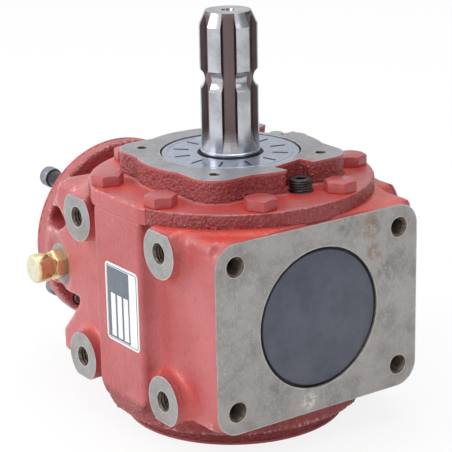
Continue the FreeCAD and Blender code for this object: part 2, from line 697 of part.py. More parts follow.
def make_cover():
    """Round plate with spigot, four-lobed body, two notches, seal bore and bearing seat."""
    plate = new_body("cover_plate")
    turned(plate, "cover_disc", [
        ("shoulder_radius", "cover_bottom"),
        ("cavity_radius - spigot_play", "cover_bottom"),
        ("cavity_radius - spigot_play", "deck_height"),
        ("cover_radius", "deck_height"),
        ("cover_radius", "cover_plate_top"),
        ("shoulder_radius", "cover_plate_top"),
    ])
    square = extrude("cover_square", rounded_rectangle(
        free_sketch("cover_square_outline", "XY", "cover_plate_top - fuse_margin"),
        "-cover_square_half", "cover_square_half", "-cover_square_half", "cover_square_half",
        "cover_lobe_radius"), "Z", "cover_top - cover_plate_top + fuse_margin")
    dome = cylinder("cover_dome", "Z", "0", "0", "cover_plate_top - fuse_margin", "cover_round",
                    "cover_top - cover_plate_top + fuse_margin")
    rough = fuse("rough_cover", [plate, square, dome])
    sides = (("pad_reach", "pad_reach + cover_radius"), ("-pad_reach - cover_radius", "-pad_reach"))
    flats = [
        block("cover_flat", "-cover_radius", "cover_radius", low, high,
              "deck_height - cut_margin", "cover_plate_top + cut_margin")
        for low, high in sides
    ]
    cover = cut("cover", rough, fuse("cover_voids", flats + cover_holes()))
    cover.Label = "cover"
    return cover


def notch(angle):
    """Notch in the cover body, open to the outside."""
    tool = doc.addObject("Part::Box", "cover_notch")
    tie(tool, "Length", "cover_radius")
    tie(tool, "Width", "notch_width")
    tie(tool, "Height", "cover_top")
    tool.Placement = Placement(Vector(), Rotation(Vector(0, 0, 1), size(angle)))
    tie(tool, "Placement.Rotation.Angle", angle)
    corner_x = f"notch_depth_radius * cos({angle}) + notch_width / 2 * sin({angle})"
    corner_y = f"notch_depth_radius * sin({angle}) - notch_width / 2 * cos({angle})"
    tie(tool, "Placement.Base.x", corner_x)
    tie(tool, "Placement.Base.y", corner_y)
    tie(tool, "Placement.Base.z", "cover_plate_top")
    return tool


def cover_holes():
    """Seal bore, bearing seat, notches and screw holes of the cover."""
    holes = [
        cylinder("seal_bore", "Z", "0", "0", f"{UPPER_CUP_BACK} + cup_lip", "bore_radius",
                 "cover_top"),
        cylinder("cover_lip_bore", "Z", "0", "0", "0", "shoulder_radius",
                 "cover_top + cut_margin"),
        cylinder("upper_cup_seat", "Z", "0", "0", "0", "bore_radius", UPPER_CUP_BACK),
        notch("plug_notch_angle"),
        notch("vent_notch_angle"),
    ]
    x, y = at_angle("notch_hole_circle", "plug_notch_angle")
    holes.append(cylinder("plug_hole", "Z", x, y, "cover_bottom - cut_margin",
                          "socket_plug_radius + running_play", "cover_top"))
    x, y = at_angle("notch_hole_circle", "vent_notch_angle")
    holes.append(cylinder("vent_hole", "Z", x, y, "cover_bottom - cut_margin",
                          "vent_radius + running_play", "cover_top"))
    for angle in LOBE_ANGLES:
        x, y = at_angle("cover_hole_circle", angle)
        holes.append(cylinder("cover_hole", "Z", x, y, "cover_top - cover_hole_depth",
                              "cover_hole_radius", "cover_hole_depth + cut_margin"))
    for angle in BOLT_ANGLES:
        x, y = at_angle("bolt_circle", angle)
        holes.append(cylinder("bolt_clearance_hole", "Z", x, y, "cover_bottom",
                              "bolt_radius + bolt_clearance", "cover_top"))
    return holes


BOLT_ANGLES = ["22.5", "67.5", "112.5", "157.5", "202.5", "247.5", "292.5", "337.5"]
LOBE_ANGLES = ["45", "135", "225", "315"]
RING_ANGLES = ["45", "135", "225", "315"]


def hexagon(name, flats, length):
    """Hexagonal prism along +Z from the origin."""
    prism = doc.addObject("Part::Prism", name)
    prism.Polygon = 6
    tie(prism, "Circumradius", f"({flats}) / 2 / cos(30)")
    tie(prism, "Height", length)
    return prism


def make_cover_bolts():
    """Eight hexagon bolts."""
    head = hexagon("bolt_hexagon", "bolt_flats", "bolt_head")
    shank = cylinder("bolt_shank", "Z", "0", "0", "deck_height - cover_plate_top - bolt_grip",
                     "bolt_radius", "cover_plate_top - deck_height + bolt_grip + fuse_margin")
    bolt = fuse("cover_bolt", [head, shank])
    doc.recompute()
    places = []
    for angle in BOLT_ANGLES:
        x, y = at_angle("bolt_circle", angle)
        spot = Vector(size(x), size(y), size("cover_plate_top"))
        places.append(Placement(spot, Rotation(Vector(0, 0, 1), float(angle))))
    return group("cover_bolts", bolt, places)


# Bearings. Local frame of one bearing: the large face of the inner ring lies at 0 and the
# rollers taper towards +Z, up to the back face of the outer ring.

APEX = "(bearing_width - cup_width / 2 + cup_mean_radius / tan(cup_angle))"


def raceway(angle, place):
    """Radius of a raceway at a place along the bearing."""
    return f"({APEX} - ({place})) * tan({angle})"


def make_cup():
    """Outer ring."""
    cup = new_body("cup")
    front = "bearing_width - cup_width"
    turned(cup, "cup_ring", [
        (raceway("cup_angle", front), front),
        ("bore_radius", front),
        ("bore_radius", "bearing_width"),
        (raceway("cup_angle", "bearing_width"), "bearing_width"),
    ])
    return cup


def make_cone():
    """Inner ring with its large rib."""
    cone = new_body("cone")
    angle = "cup_angle - 2 * roller_half_angle"
    turned(cone, "cone_ring", [
        ("cone_bore", "0"),
        ("cone_rib_radius", "0"),
        ("cone_rib_radius", "cone_rib_width"),
        (raceway(angle, "cone_rib_width"), "cone_rib_width"),
        (raceway(angle, "cone_width"), "cone_width"),
        ("cone_bore", "cone_width"),
    ])
    return cone


ROLLER_SIDES = 12


def make_roller():
    """One tapered roller in its place on the +X side, drawn with flat sides."""
    tilt = size("cup_angle - roller_half_angle")
    apex = size(APEX)
    half = size("roller_half_angle")
    cosine = math.cos(math.radians(tilt))
    overhang = apex * math.tan(math.radians(half)) * math.sin(math.radians(tilt))
    start = (apex - size("cone_rib_width + roller_rib_play") - overhang) / cosine
    rings = []
    for reach in (start, start - size("roller_length")):
        radius = reach * math.tan(math.radians(half)) - size("roller_play")
        ring = []
        for side in range(ROLLER_SIDES):
            turn = 2 * math.pi * side / ROLLER_SIDES
            ring.append(Vector(radius * math.cos(turn), radius * math.sin(turn), -reach))
        rings.append(ring)
    roller = doc.addObject("Part::Feature", "roller")
    roller.Shape = frustum(*rings)
    roller.Placement = Placement(Vector(0, 0, apex), Rotation(Vector(0, 1, 0), -tilt))
    return roller


def bearing_places():
    """Placements of the four bearings: upper, lower, inner output and outer output."""
    upside = Rotation()
    downside = Rotation(Vector(1, 0, 0), 180)
    towards_ring = Rotation(Vector(0, 1, 0), -90)
    towards_box = Rotation(Vector(0, 1, 0), 90)
    height = size("axis_height")
    return {
        "upper": Placement(Vector(0, 0, size(UPPER_CONE_BACK)), upside),
        "lower": Placement(Vector(0, 0, size(LOWER_CONE_BACK)), downside),
        "inner": Placement(Vector(-size("inner_cone_face"), 0, height), towards_ring),
        "outer": Placement(Vector(-size(OUTER_CONE_BACK), 0, height), towards_box),
    }


def make_bearings():
    """Cups, cones and rollers of both shafts."""
    cup = make_cup()
    cone = make_cone()
    roller = make_roller()
    places = bearing_places()
    nodes = []
    for shaft, names in (("input", ("upper", "lower")), ("output", ("inner", "outer"))):
        nodes.append(group(f"{shaft}_bearing_cups", cup, [places[n] for n in names]))
        nodes.append(group(f"{shaft}_bearing_cones", cone, [places[n] for n in names]))
        count = int(size("roller_count"))
        turns = [Placement(Vector(), Rotation(Vector(0, 0, 1), 360 * i / count))
                 for i in range(count)]
        nodes.append(group(f"{shaft}_rollers", roller,
                           [places[n].multiply(t) for n in names for t in turns]))
    return nodes


# Shafts

def spline_gap_points(root):
    """Cross-section between two spline teeth, its floor at a root radius, middle at angle 0."""
    half = f"(30 deg - asin(spline_tooth / 2 / ({root})))"
    outer = "spline_radius + spline_clear"
    outer_half = f"(30 deg - asin(spline_tooth / 2 / ({outer})))"
    return [
        (f"({root}) * cos({half})", f"-({root}) * sin({half})"),
        (f"({outer}) * cos({outer_half})", f"-({outer}) * sin({outer_half})"),
        (f"({outer}) * cos({outer_half})", f"({outer}) * sin({outer_half})"),
        (f"({root}) * cos({half})", f"({root}) * sin({half})"),
        (root, "0"),
    ]


def cut_spline(body, name, end, full, runout):
    """Six spline gaps from the end of a shaft, with a floor that rises over the run-out."""
    outline = body_sketch(body, name + "_gap_profile", "XY", end)
    pocket = body_pocket(body, name + "_gap", polygon(outline, spline_gap_points("spline_root")),
                         f"({end}) - ({full})")
    steps = (
        (0, "spline_root"),
        (RUNOUT_SHARE, "spline_root + runout_rise"),
        (1, "spline_radius - runout_skin"),
    )
    sections = []
    for share, root in steps:
        place = f"({full}) - ({share}) * ({runout})"
        sk = body_sketch(body, f"{name}_runout_{len(sections)}", "XY", place)
        sections.append(polygon(sk, spline_gap_points(root)))
    doc.recompute()
    flare = body.newObject("PartDesign::SubtractiveLoft", name + "_runout")
    flare.Profile = sections[0]
    flare.Sections = sections[1:]
    flare.Ruled = True
    doc.recompute()
    body_polar(body, name + "_gaps", [pocket, flare], 6)


def make_input_shaft():
    """Vertical shaft: bearing seats, core, seal seat, collar, spline and locking groove."""
    shaft = new_body("input_shaft")
    low_end = f"({LOWER_CUP_BACK} + lower_cone_gap)"
    turned(shaft, "input_turning", [
        ("0", low_end),
        ("cone_bore - bearing_lead", low_end),
        ("cone_bore", f"{low_end} + bearing_lead"),
        ("cone_bore", LOWER_CONE_BACK),
        ("shaft_core", LOWER_CONE_BACK),
        ("shaft_core", UPPER_CONE_BACK),
        ("cone_bore", UPPER_CONE_BACK),
        ("cone_bore", f"{UPPER_CONE_BACK} + cone_width"),
        ("seal_seat", f"{UPPER_CONE_BACK} + cone_width + seal_lead"),
        ("seal_seat", "collar_low"),
        ("collar_radius", "collar_low + collar_chamfer"),
        ("collar_radius", "collar_high - collar_chamfer"),
        ("spline_radius", "collar_high"),
        ("spline_radius", "shaft_top - shaft_chamfer_length"),
        ("spline_radius - shaft_chamfer_depth", "shaft_top"),
        ("centre_radius", "shaft_top"),
        ("0", "shaft_top - centre_depth"),
    ])
    sk = body_sketch(shaft, "lock_groove_profile", "XZ")
    cutter = "((lock_groove_half ^ 2 + lock_groove_depth ^ 2) / 2 / lock_groove_depth)"
    circle(sk, f"spline_radius - lock_groove_depth + {cutter}", "lock_groove_height", cutter)
    groove = shaft.newObject("PartDesign::Groove", "lock_groove")
    groove.Profile = sk
    groove.ReferenceAxis = (sk, ["V_Axis"])
    groove.Angle = 360
    doc.recompute()
    cut_spline(shaft, "input_spline", "shaft_top", "runout_start",
               "runout_start - collar_high - runout_gap")
    key_seat = body_sketch(shaft, "key_seat_profile", "XZ")
    polygon(key_seat, [
        ("shaft_core - key_depth", "crown_hub_top - key_length"),
        ("shaft_core + cut_margin", "crown_hub_top - key_length"),
        ("shaft_core + cut_margin", "crown_hub_top"),
        ("shaft_core - key_depth", "crown_hub_top"),
    ])
    seat = shaft.newObject("PartDesign::Pocket", "key_seat")
    seat.Profile = key_seat
    seat.Midplane = True
    tie(seat, "Length", "key_width")
    doc.recompute()
    shaft.Placement = Placement(Vector(), Rotation(Vector(0, 0, 1), size("spline_phase")))
    return shaft


def make_output_turning():
    """Horizontal shaft without its teeth, drawn upright: bearing seats, nut thread and spline."""
    shaft = new_body("output_turning")
    turned(shaft, "output_profile", [
        ("0", "inner_cone_face - pinion_collar_width"),
        ("cone_bore + pinion_collar", "inner_cone_face - pinion_collar_width"),
        ("cone_bore + pinion_collar", "inner_cone_face"),
        ("cone_bore", "inner_cone_face"),
        ("cone_bore", OUTER_CONE_BACK),
        ("nut_seat", OUTER_CONE_BACK),
        ("nut_seat", f"{OUTER_CONE_BACK} + nut_thick"),
        ("seal_seat", f"{OUTER_CONE_BACK} + nut_thick"),
        ("seal_seat", "ring_back + seal_seat_extra"),
        ("spline_radius", "ring_back + seal_seat_extra"),
        ("spline_radius", "output_end - output_chamfer"),
        ("spline_radius - output_chamfer", "output_end"),
        ("centre_radius", "output_end"),
        ("0", "output_end - centre_depth"),
    ])
    cut_spline(shaft, "output_spline", "output_end", "output_spline_start", "output_runout")
    return shaft


# Bevel gears. Each gear is drawn upright, its cone apex at the origin and its teeth above it.

def cone_data(teeth, mate):
    """Pitch radius, pitch angle and pitch distance along the axis at the outer end."""
    radius = size(f"module_size * {teeth} / 2")
    angle = math.atan(size(teeth) / size(mate))
    return radius, angle, radius / math.tan(angle)


def involute(angle):
    """Involute function of an angle in radians."""
    return math.tan(angle) - angle


FLANK_SHARES = (0.0, 0.3, 0.65, 1.0)


def tooth_profile(teeth, mate, shift):
    """Half flank at the outer end as (height over the pitch line, half angle about the axis)."""
    radius, cone, _ = cone_data(teeth, mate)
    module = size("module_size")
    press = math.radians(size("pressure_angle"))
    virtual = radius / math.cos(cone)
    base = virtual * math.cos(press)
    half_tooth = module * (math.pi / 4 + shift * math.tan(press)) - size("tooth_play") / 4
    top = module * (1 + shift)
    root = -module * (size("root_depth") - shift)
    flank = []
    for share in FLANK_SHARES:
        height = root + share * (top - root)
        reach = virtual + height
        pressure = math.acos(min(1.0, base / reach))
        half = half_tooth / virtual + involute(press) - involute(pressure)
        flank.append((height, half / math.cos(cone)))
    return flank


def tooth_outline(flank, teeth, mate, turn, scale, sink):
    """Corners of one tooth in the plane square to its pitch line, at a share of the cone distance."""
    radius, cone, distance = cone_data(teeth, mate)
    pitch_line = Vector(math.sin(cone) * math.cos(turn), math.sin(cone) * math.sin(turn),
                        math.cos(cone))
    reach = scale * radius / math.sin(cone)
    left = [(flank[0][0] - sink, flank[0][1])] + flank
    outline = [(h, -a) for h, a in left] + [(h, a) for h, a in reversed(left)]
    points = []
    for height, angle in outline:
        across = radius + height * math.cos(cone)
        along = distance - height * math.sin(cone)
        ray = Vector(across * math.cos(turn + angle), across * math.sin(turn + angle), along)
        points.append(ray * (reach / ray.dot(pitch_line)))
    return points


def bevel_teeth(teeth, mate, shift, first_turn):
    """All teeth of a bevel gear as solids, the first one centred on a direction."""
    count = int(size(teeth))
    inner = inner_scale(teeth, mate)
    flank = tooth_profile(teeth, mate, shift)
    sink = size("tooth_sink * module_size")
    solids = []
    for i in range(count):
        turn = math.radians(first_turn) + 2 * math.pi * i / count
        ends = [tooth_outline(flank, teeth, mate, turn, scale, sink) for scale in (1.0, inner)]
        solids.append(frustum(*ends))
    return solids


def root_point(teeth, mate, shift, scale, margin):
    """Root circle a margin past one end of the teeth: radius and place along the axis."""
    radius, cone, distance = cone_data(teeth, mate)
    depth = -size("module_size") * (size("root_depth") - shift)
    scale += margin * math.sin(cone) / radius
    return (radius + depth * math.cos(cone)) * scale, (distance - depth * math.sin(cone)) * scale


def turned_solid(points):
    """Solid of revolution about Z from radius and height pairs."""
    ring = [Vector(r, 0, z) for r, z in points]
    face = Part.Face(Part.makePolygon(ring + ring[:1]))
    return face.revolve(Vector(), Vector(0, 0, 1), 360)


def inner_scale(teeth, mate):
    """Size of the inner tooth end compared with the outer end."""
    radius, cone, _ = cone_data(teeth, mate)
    return 1 - size("face_width") * math.sin(cone) / radius


def make_crown_gear():
    """Crown gear on the input shaft, teeth upwards, below the output axis."""
    teeth, mate = "crown_teeth", "pinion_teeth"
    shift = -size("addendum_shift")
    margin = size("blank_margin")
    heel = root_point(teeth, mate, shift, 1.0, margin)
    toe = root_point(teeth, mate, shift, inner_scale(teeth, mate), -margin)
    height = size("axis_height")
    hub = size("crown_hub_radius")
    bottom = height - size(LOWER_CONE_BACK)
    back = height - size("crown_back")
    blank = turned_solid([
        (size("shaft_core"), bottom),
        (hub, bottom),
        (hub, back),
        (heel[0] - size("crown_heel_step"), back),
        heel,
        toe,
        (size("crown_hub_radius"), height - size("crown_hub_top")),
        (size("shaft_core"), height - size("crown_hub_top")),
    ])
    half_pitch = 180 / size(teeth)
    solid = blank.fuse(bevel_teeth(teeth, mate, shift, 180 + half_pitch))
    gear = doc.addObject("Part::Feature", "crown_teeth_and_blank")
    gear.Shape = solid.removeSplitter()
    gear.Placement = Placement(Vector(0, 0, height), Rotation(Vector(1, 0, 0), 180))
    crown = cut("crown_gear", gear, key_block("crown_key_way", "shaft_core - cut_margin"))
    crown.Label = "crown_gear"
    return crown


def key_block(name, inner):
    """Block of the key's width and length, from an inner distance up to its outer face."""
    tool = doc.addObject("Part::Box", name)
    tie(tool, "Length", f"shaft_core - key_depth + key_height - ({inner})")
    tie(tool, "Width", "key_width")
    tie(tool, "Height", "key_length")
    tool.Placement = Placement(Vector(), Rotation(Vector(0, 0, 1), size("spline_phase")))
    tie(tool, "Placement.Rotation.Angle", "spline_phase")
    corner_x = f"({inner}) * cos(spline_phase) + key_width / 2 * sin(spline_phase)"
    corner_y = f"({inner}) * sin(spline_phase) - key_width / 2 * cos(spline_phase)"
    tie(tool, "Placement.Base.x", corner_x)
    tie(tool, "Placement.Base.y", corner_y)
    tie(tool, "Placement.Base.z", "crown_hub_top - key_length")
    return tool


def make_pinion_shaft():
    """Output shaft with the pinion cut in one piece with it."""
    teeth, mate = "pinion_teeth", "crown_teeth"
    shift = size("addendum_shift")
    margin = size("blank_margin")
    heel = root_point(teeth, mate, shift, 1.0, margin)
    toe = root_point(teeth, mate, shift, inner_scale(teeth, mate), -margin)
    blank = turned_solid([
        (0, toe[1]),
        toe,
        heel,
        (heel[0], size("inner_cone_face - pinion_gap")),
        (0, size("inner_cone_face - pinion_gap")),
    ])
    solid = blank.fuse(bevel_teeth(teeth, mate, shift, 180))
    pinion = doc.addObject("Part::Feature", "pinion_teeth_and_blank")
    pinion.Shape = solid.removeSplitter()
    shaft = fuse("pinion_shaft", [pinion, make_output_turning()])
    shaft.Placement = onto_output_axis()
    shaft.Label = "pinion_shaft"
    return shaft


# Sleeves, seals, caps and small parts

def ring_body(label, inner, outer, low, high):
    """Plain ring as a body."""
    body = new_body(label)
    turned(body, label + "_ring", [(inner, low), (outer, low), (outer, high), (inner, high)])
    return body


def make_sleeves():
    """Sleeve above the crown gear, sleeve between the output cones, and the lock nut."""
    gear_spacer = ring_body("gear_spacer", "shaft_core", "shaft_core + spacer_wall",
                            "crown_hub_top", UPPER_CONE_BACK)
    cone_spacer = ring_body("cone_spacer", "cone_bore", "cone_bore + spacer_wall",
                            "inner_cone_face + cone_width", f"{OUTER_CONE_BACK} - cone_width")
    cone_spacer.Placement = onto_output_axis()
    nut = ring_body("lock_nut", "nut_seat", "nut_radius", OUTER_CONE_BACK,
                    f"{OUTER_CONE_BACK} + nut_thick")
    slot = polygon(body_sketch(nut, "nut_slot_profile", "XY", f"{OUTER_CONE_BACK} + nut_thick"), [
        ("nut_radius - nut_slot_depth", "-nut_slot_width / 2"),
        ("nut_radius + cut_margin", "-nut_slot_width / 2"),
        ("nut_radius + cut_margin", "nut_slot_width / 2"),
        ("nut_radius - nut_slot_depth", "nut_slot_width / 2"),
    ])
    body_polar(nut, "nut_slots", [body_pocket(nut, "nut_slot", slot, "nut_thick")], 4)
    nut.Placement = onto_output_axis()
    return [gear_spacer, cone_spacer, nut]


def make_seals():
    """Lip seals with a hollow on the oil side."""
    top = "(cover_top - seal_recess)"
    input_seal = seal_body("input_seal", f"{top} - seal_thick", top)
    outer = "(ring_back - output_seal_recess)"
    output_seal = seal_body("output_seal", f"{outer} - output_seal_thick", outer)
    output_seal.Placement = onto_output_axis()
    return [input_seal, output_seal]


def seal_body(label, low, high):
    """Seal between a bore and a shaft; the lip runs on the shaft."""
    lip = "seal_seat + running_play"
    web = f"({high}) - seal_web"
    body = new_body(label)
    turned(body, label + "_section", [
        (lip, low),
        (f"{lip} + seal_rim", low),
        (f"{lip} + seal_rim", web),
        ("bore_radius - seal_rim", web),
        ("bore_radius - seal_rim", low),
        ("bore_radius", low),
        ("bore_radius", high),
        (lip, high),
    ])
    return body


def cap_body(label, low):
    """Blanking cap: a disc with a chamfered outer edge, its outer face above its seat."""
    body = new_body(label)
    turned(body, label + "_disc", [
        ("0", low),
        ("bore_radius", low),
        ("bore_radius", f"({low}) + cap_thick - cap_chamfer"),
        ("bore_radius - cap_chamfer", f"({low}) + cap_thick"),
        ("0", f"({low}) + cap_thick"),
    ])
    return body


def make_caps():
    """Side cap in the flange and base cap under the lower bearing."""
    side = cap_body("side_cap", "flange_face - side_seat_depth")
    side.Placement = Placement(Vector(0, 0, size("axis_height")), Rotation(Vector(0, 1, 0), 90))
    base = cap_body("base_cap", "-cap_thick")
    base.Placement = Placement(Vector(), Rotation(Vector(1, 0, 0), 180))
    return [side, base]


def make_nameplate():
    """Thin bare plate on the front pad."""
    outline = rounded_rectangle(
        free_sketch("plate_outline", "XZ", "-pad_reach"),
        "plate_shift_x - plate_width / 2", "plate_shift_x + plate_width / 2",
        "axis_height + plate_shift_z - plate_tall / 2",
        "axis_height + plate_shift_z + plate_tall / 2", "plate_corner")
    plate = extrude("nameplate", outline, "Y", "0", "plate_thick")
    plate.Label = "nameplate"
    return plate


def upright_at(radius, angle, z):
    """Placement on the cover at a radius and direction."""
    x, y = at_angle(radius, angle)
    return Placement(Vector(size(x), size(y), size(z)), Rotation())


def make_cover_plugs():
    """Socket plug and vent stub in the notches of the cover."""
    body = cylinder("plug_thread", "Z", "0", "0", "0", "socket_plug_radius",
                    "socket_plug_top - deck_height")
    socket = hexagon("plug_socket", "socket_flats", "socket_depth + cut_margin")
    tie(socket, "Placement.Base.z", "socket_plug_top - deck_height - socket_depth")
    plug = cut("socket_plug", body, socket)
    plug.Placement = upright_at("notch_hole_circle", "plug_notch_angle", "deck_height")
    plug.Label = "socket_plug"
    vent = new_body("vent_stub")
    turned(vent, "vent_turning", [
        ("0", "0"),
        ("vent_radius", "0"),
        ("vent_radius", "vent_top - deck_height - vent_chamfer"),
        ("vent_radius - vent_chamfer", "vent_top - deck_height"),
        ("0", "vent_top - deck_height"),
    ])
    vent.Placement = upright_at("notch_hole_circle", "vent_notch_angle", "deck_height")
    return [plug, vent]


def make_level_plug():
    """Brass level plug with hexagon, neck and cap, screwed into the side arm of the neck."""
    turned_part = new_body("level_turning")
    turned(turned_part, "level_profile", [
        ("0", "level_thread_end"),
        ("level_thread_radius", "level_thread_end"),
        ("level_thread_radius", "level_spot"),
        ("level_neck_radius", "level_spot"),
        ("level_neck_radius", "level_neck_end"),
        ("level_cap_radius", "level_neck_end"),
        ("level_cap_radius", "level_end - level_chamfer"),
        ("level_cap_radius - level_chamfer", "level_end"),
        ("0", "level_end"),
    ])
    collar = hexagon("level_hexagon", "level_hex_flats", "level_hex_end - level_spot")
    tie(collar, "Placement.Base.z", "level_spot")
    plug = fuse("level_plug", [turned_part, collar])
    place = Vector(-size("level_plug_place"), 0, size("axis_height"))
    plug.Placement = Placement(place, Rotation(Vector(1, 0, 0), 90))
    plug.Label = "level_plug"
    return plug


def ring_places():
    """Placements of the four ring screws: local +Z points away from the casing."""
    places = []
    for angle in RING_ANGLES:
        y, z = at_angle("ring_screw_circle", angle)
        spot = Vector(0, size(y), size("axis_height") + size(z))
        places.append(Placement(spot, Rotation(Vector(0, 1, 0), -90)))
    return places


def make_ring_screws():
    """Socket-head screws of the ring flange and the sleeves under their heads."""
    shank = cylinder("ring_shank", "Z", "0", "0", "ring_front", "ring_screw_radius",
                     "ring_spacer_end - ring_front + fuse_margin")
    head = cylinder("ring_head", "Z", "0", "0", "ring_spacer_end", "ring_screw_head",
                    "ring_head_end - ring_spacer_end")
    socket = hexagon("ring_socket", "socket_flats", "socket_depth + cut_margin")
    tie(socket, "Placement.Base.z", "ring_head_end - socket_depth")
    screw = cut("ring_screw", fuse("ring_screw_blank", [shank, head]), socket)
    sleeve = cylinder("ring_sleeve_blank", "Z", "0", "0", "ring_back", "ring_spacer_radius",
                      "ring_spacer_end - ring_back")
    sleeve_bore = cylinder("ring_sleeve_bore", "Z", "0", "0", "ring_front", "ring_hole_radius",
                           "ring_spacer_end")
    spacer = cut("ring_sleeve", sleeve, sleeve_bore)
    doc.recompute()
    return [group("ring_screws", screw, ring_places()),
            group("ring_spacers", spacer, ring_places())]


def make_key():
    """Key between the input shaft and the crown gear."""
    key = key_block("gear_key", "shaft_core - key_depth")
    key.Label = "gear_key"
    return key


nodes = [make_casing(), make_cover(), make_cover_bolts()]
nodes += make_bearings()
nodes += [make_input_shaft(), make_crown_gear(), make_key(), make_pinion_shaft()]
nodes += make_sleeves() + make_seals() + make_caps()
nodes += [make_nameplate()] + make_cover_plugs() + [make_level_plug()] + make_ring_screws()
doc.recompute()

for obj in doc.Objects:
    if {"Invalid", "Error"} & set(obj.State):
        raise RuntimeError(f"{obj.Label} failed: {obj.State}")
for node in nodes:
    if node.Shape.isNull() or not node.Shape.isValid():
        raise RuntimeError(f"{node.Label} has no sound shape")

os.makedirs("parts", exist_ok=True)
for node in nodes:
    node.Shape.exportStep(f"parts/{node.Label}.step")
    print(f"{node.Label:24s} solids {len(node.Shape.Solids):3d}  {node.Shape.Volume:12.0f} mm3")
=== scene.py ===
# %% [markdown]
# # A right-angle bevel gearbox, dressed for a studio photograph
# The frame brings in every part of the gearbox at its real size: a cast iron case with an open neck,
# a bolted cover, two splined shafts and the bevel gears between them. This file adds what the eye
# looks for: soft cast skin under thick red paint, bare machined faces, threads, ground steel.
# All shapes are worked out in millimetres and written to the meshes in metres.

# %% Load the frame
import math

import bmesh
import bpy
import numpy as np
from mathutils import Matrix, Vector


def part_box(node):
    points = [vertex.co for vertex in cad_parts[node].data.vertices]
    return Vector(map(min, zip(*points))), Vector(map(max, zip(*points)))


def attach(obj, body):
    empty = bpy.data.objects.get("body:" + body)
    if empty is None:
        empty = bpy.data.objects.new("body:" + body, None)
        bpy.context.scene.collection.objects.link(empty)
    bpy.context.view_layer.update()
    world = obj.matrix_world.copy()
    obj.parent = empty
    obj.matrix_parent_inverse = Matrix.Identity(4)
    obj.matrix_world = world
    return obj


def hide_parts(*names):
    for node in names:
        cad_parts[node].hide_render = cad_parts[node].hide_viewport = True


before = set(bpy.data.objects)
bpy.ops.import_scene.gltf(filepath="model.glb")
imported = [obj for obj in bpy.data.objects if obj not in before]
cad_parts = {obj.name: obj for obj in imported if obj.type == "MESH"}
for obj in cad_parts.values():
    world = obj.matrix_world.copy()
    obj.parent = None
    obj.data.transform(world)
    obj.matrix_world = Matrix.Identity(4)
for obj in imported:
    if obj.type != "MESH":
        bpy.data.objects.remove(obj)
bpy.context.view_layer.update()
MM = 0.001
print("nodes in the frame:", len(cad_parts))

# %% [markdown]
# ## Main places
# A few planes and axes of the case steer everything that is added. The ends of the case and the top of
# the cover are read from the boxes of the parts, so a plate that is laid on the flange lies on this
# very flange. No box shows the deck under the cover, the output axis or the holes: their drawn sizes
# are given here.

# %% Planes and axes, in millimetres
case_low, case_high = [np.array(corner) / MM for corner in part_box("housing")]
case_middle = (case_low + case_high) / 2
RING_FACE, FLANGE_FACE = case_low[0], case_high[0]
COVER_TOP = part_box("cover")[1][2] / MM
DECK = 137.5
AXIS_HEIGHT = 80.0
BORE_RADIUS = 42.5
BOSS_FACE, BOSS_RADIUS, BOSS_HOLE = 82.0, 15.3, 5.9
BOSS_CENTRES = [(x, z) for x in (-45.75, 44.25) for z in (35.0, 125.0)]
FLANGE_HOLE = 5.1
FLANGE_CENTRES = [(y, AXIS_HEIGHT + rise) for y in (-59, 59) for rise in (-43.3, 43.3)]
print("ring face", RING_FACE, "flange face", FLANGE_FACE, "cover top", COVER_TOP)

# %% [markdown]
# ## Camera
# The photograph looks down on the gearbox from the corner between the flange and the nameplate side,
# with a lens that is long enough to keep the upright edges nearly parallel. The camera is built from
# its turn round the object, its height above the horizon and a slight roll.

# %% Camera
AZIMUTH = math.radians(55.147)
ELEVATION = math.radians(17.473)
ROLL = math.radians(-1.19)
CAMERA_PLACE = Vector((830.78, -582.99, 433.81)) * MM
LENS = 139.27

back = Vector((math.sin(AZIMUTH) * math.cos(ELEVATION),
               -math.cos(AZIMUTH) * math.cos(ELEVATION), math.sin(ELEVATION)))
level = Vector((math.cos(AZIMUTH), math.sin(AZIMUTH), 0))
above = back.cross(level)
right = level * math.cos(ROLL) + above * math.sin(ROLL)
upright = above * math.cos(ROLL) - level * math.sin(ROLL)

lens = bpy.data.cameras.new("camera")
lens.sensor_width = 36
lens.lens = LENS
lens.clip_start, lens.clip_end = 0.05, 20
camera = bpy.data.objects.new("camera", lens)
turn_to_view = Matrix((right, upright, back)).transposed().to_4x4()
camera.matrix_world = Matrix.Translation(CAMERA_PLACE) @ turn_to_view
bpy.context.scene.collection.objects.link(camera)
bpy.context.scene.camera = camera
bpy.context.scene.view_settings.view_transform = "Standard"
print("camera at", [round(v, 3) for v in CAMERA_PLACE])

# %% [markdown]
# ## Node helpers
# Each finish is a small tree of shader nodes. Short helpers keep the trees readable: one adds a node
# with its settings and inputs, one blends two colours, one turns a height into a bent normal. Each
# finds the tree that it adds to from an output that it is given.

# %% Helpers for finishes
def srgb(*levels):
    """Linear colour from a photo editor's 0 to 255 levels: ((c + 0.055) / 1.055) to the power 2.4."""
    c = np.array(levels) / 255
    linear = np.where(c < 0.04045, c / 12.92, ((c + 0.055) / 1.055) ** 2.4)
    return (*[float(v) for v in linear], 1.0)


def feed(node, inputs):
    """Sets a node's inputs where the value is a number or a colour, and links another node's output."""
    for key, value in inputs.items():
        if isinstance(value, bpy.types.NodeSocket):
            node.id_data.links.new(value, node.inputs[key])
        else:
            node.inputs[key].default_value = value


def add(near, kind, inputs=None, **settings):
    """A shader node in the tree that near belongs to; settings are its properties."""
    made = near.id_data.nodes.new("ShaderNode" + kind)
    for key, value in settings.items():
        setattr(made, key, value)
    feed(made, inputs or {})
    return made


def blend(share, first, second):
    """First colour where share is 0, second where it is 1."""
    return add(share, "Mix", {0: share, 6: first, 7: second}, data_type="RGBA").outputs[2]


def maths(operation, *values):
    """One step of arithmetic on numbers and outputs."""
    near = next(value for value in values if isinstance(value, bpy.types.NodeSocket))
    return add(near, "Math", dict(enumerate(values)), operation=operation).outputs[0]


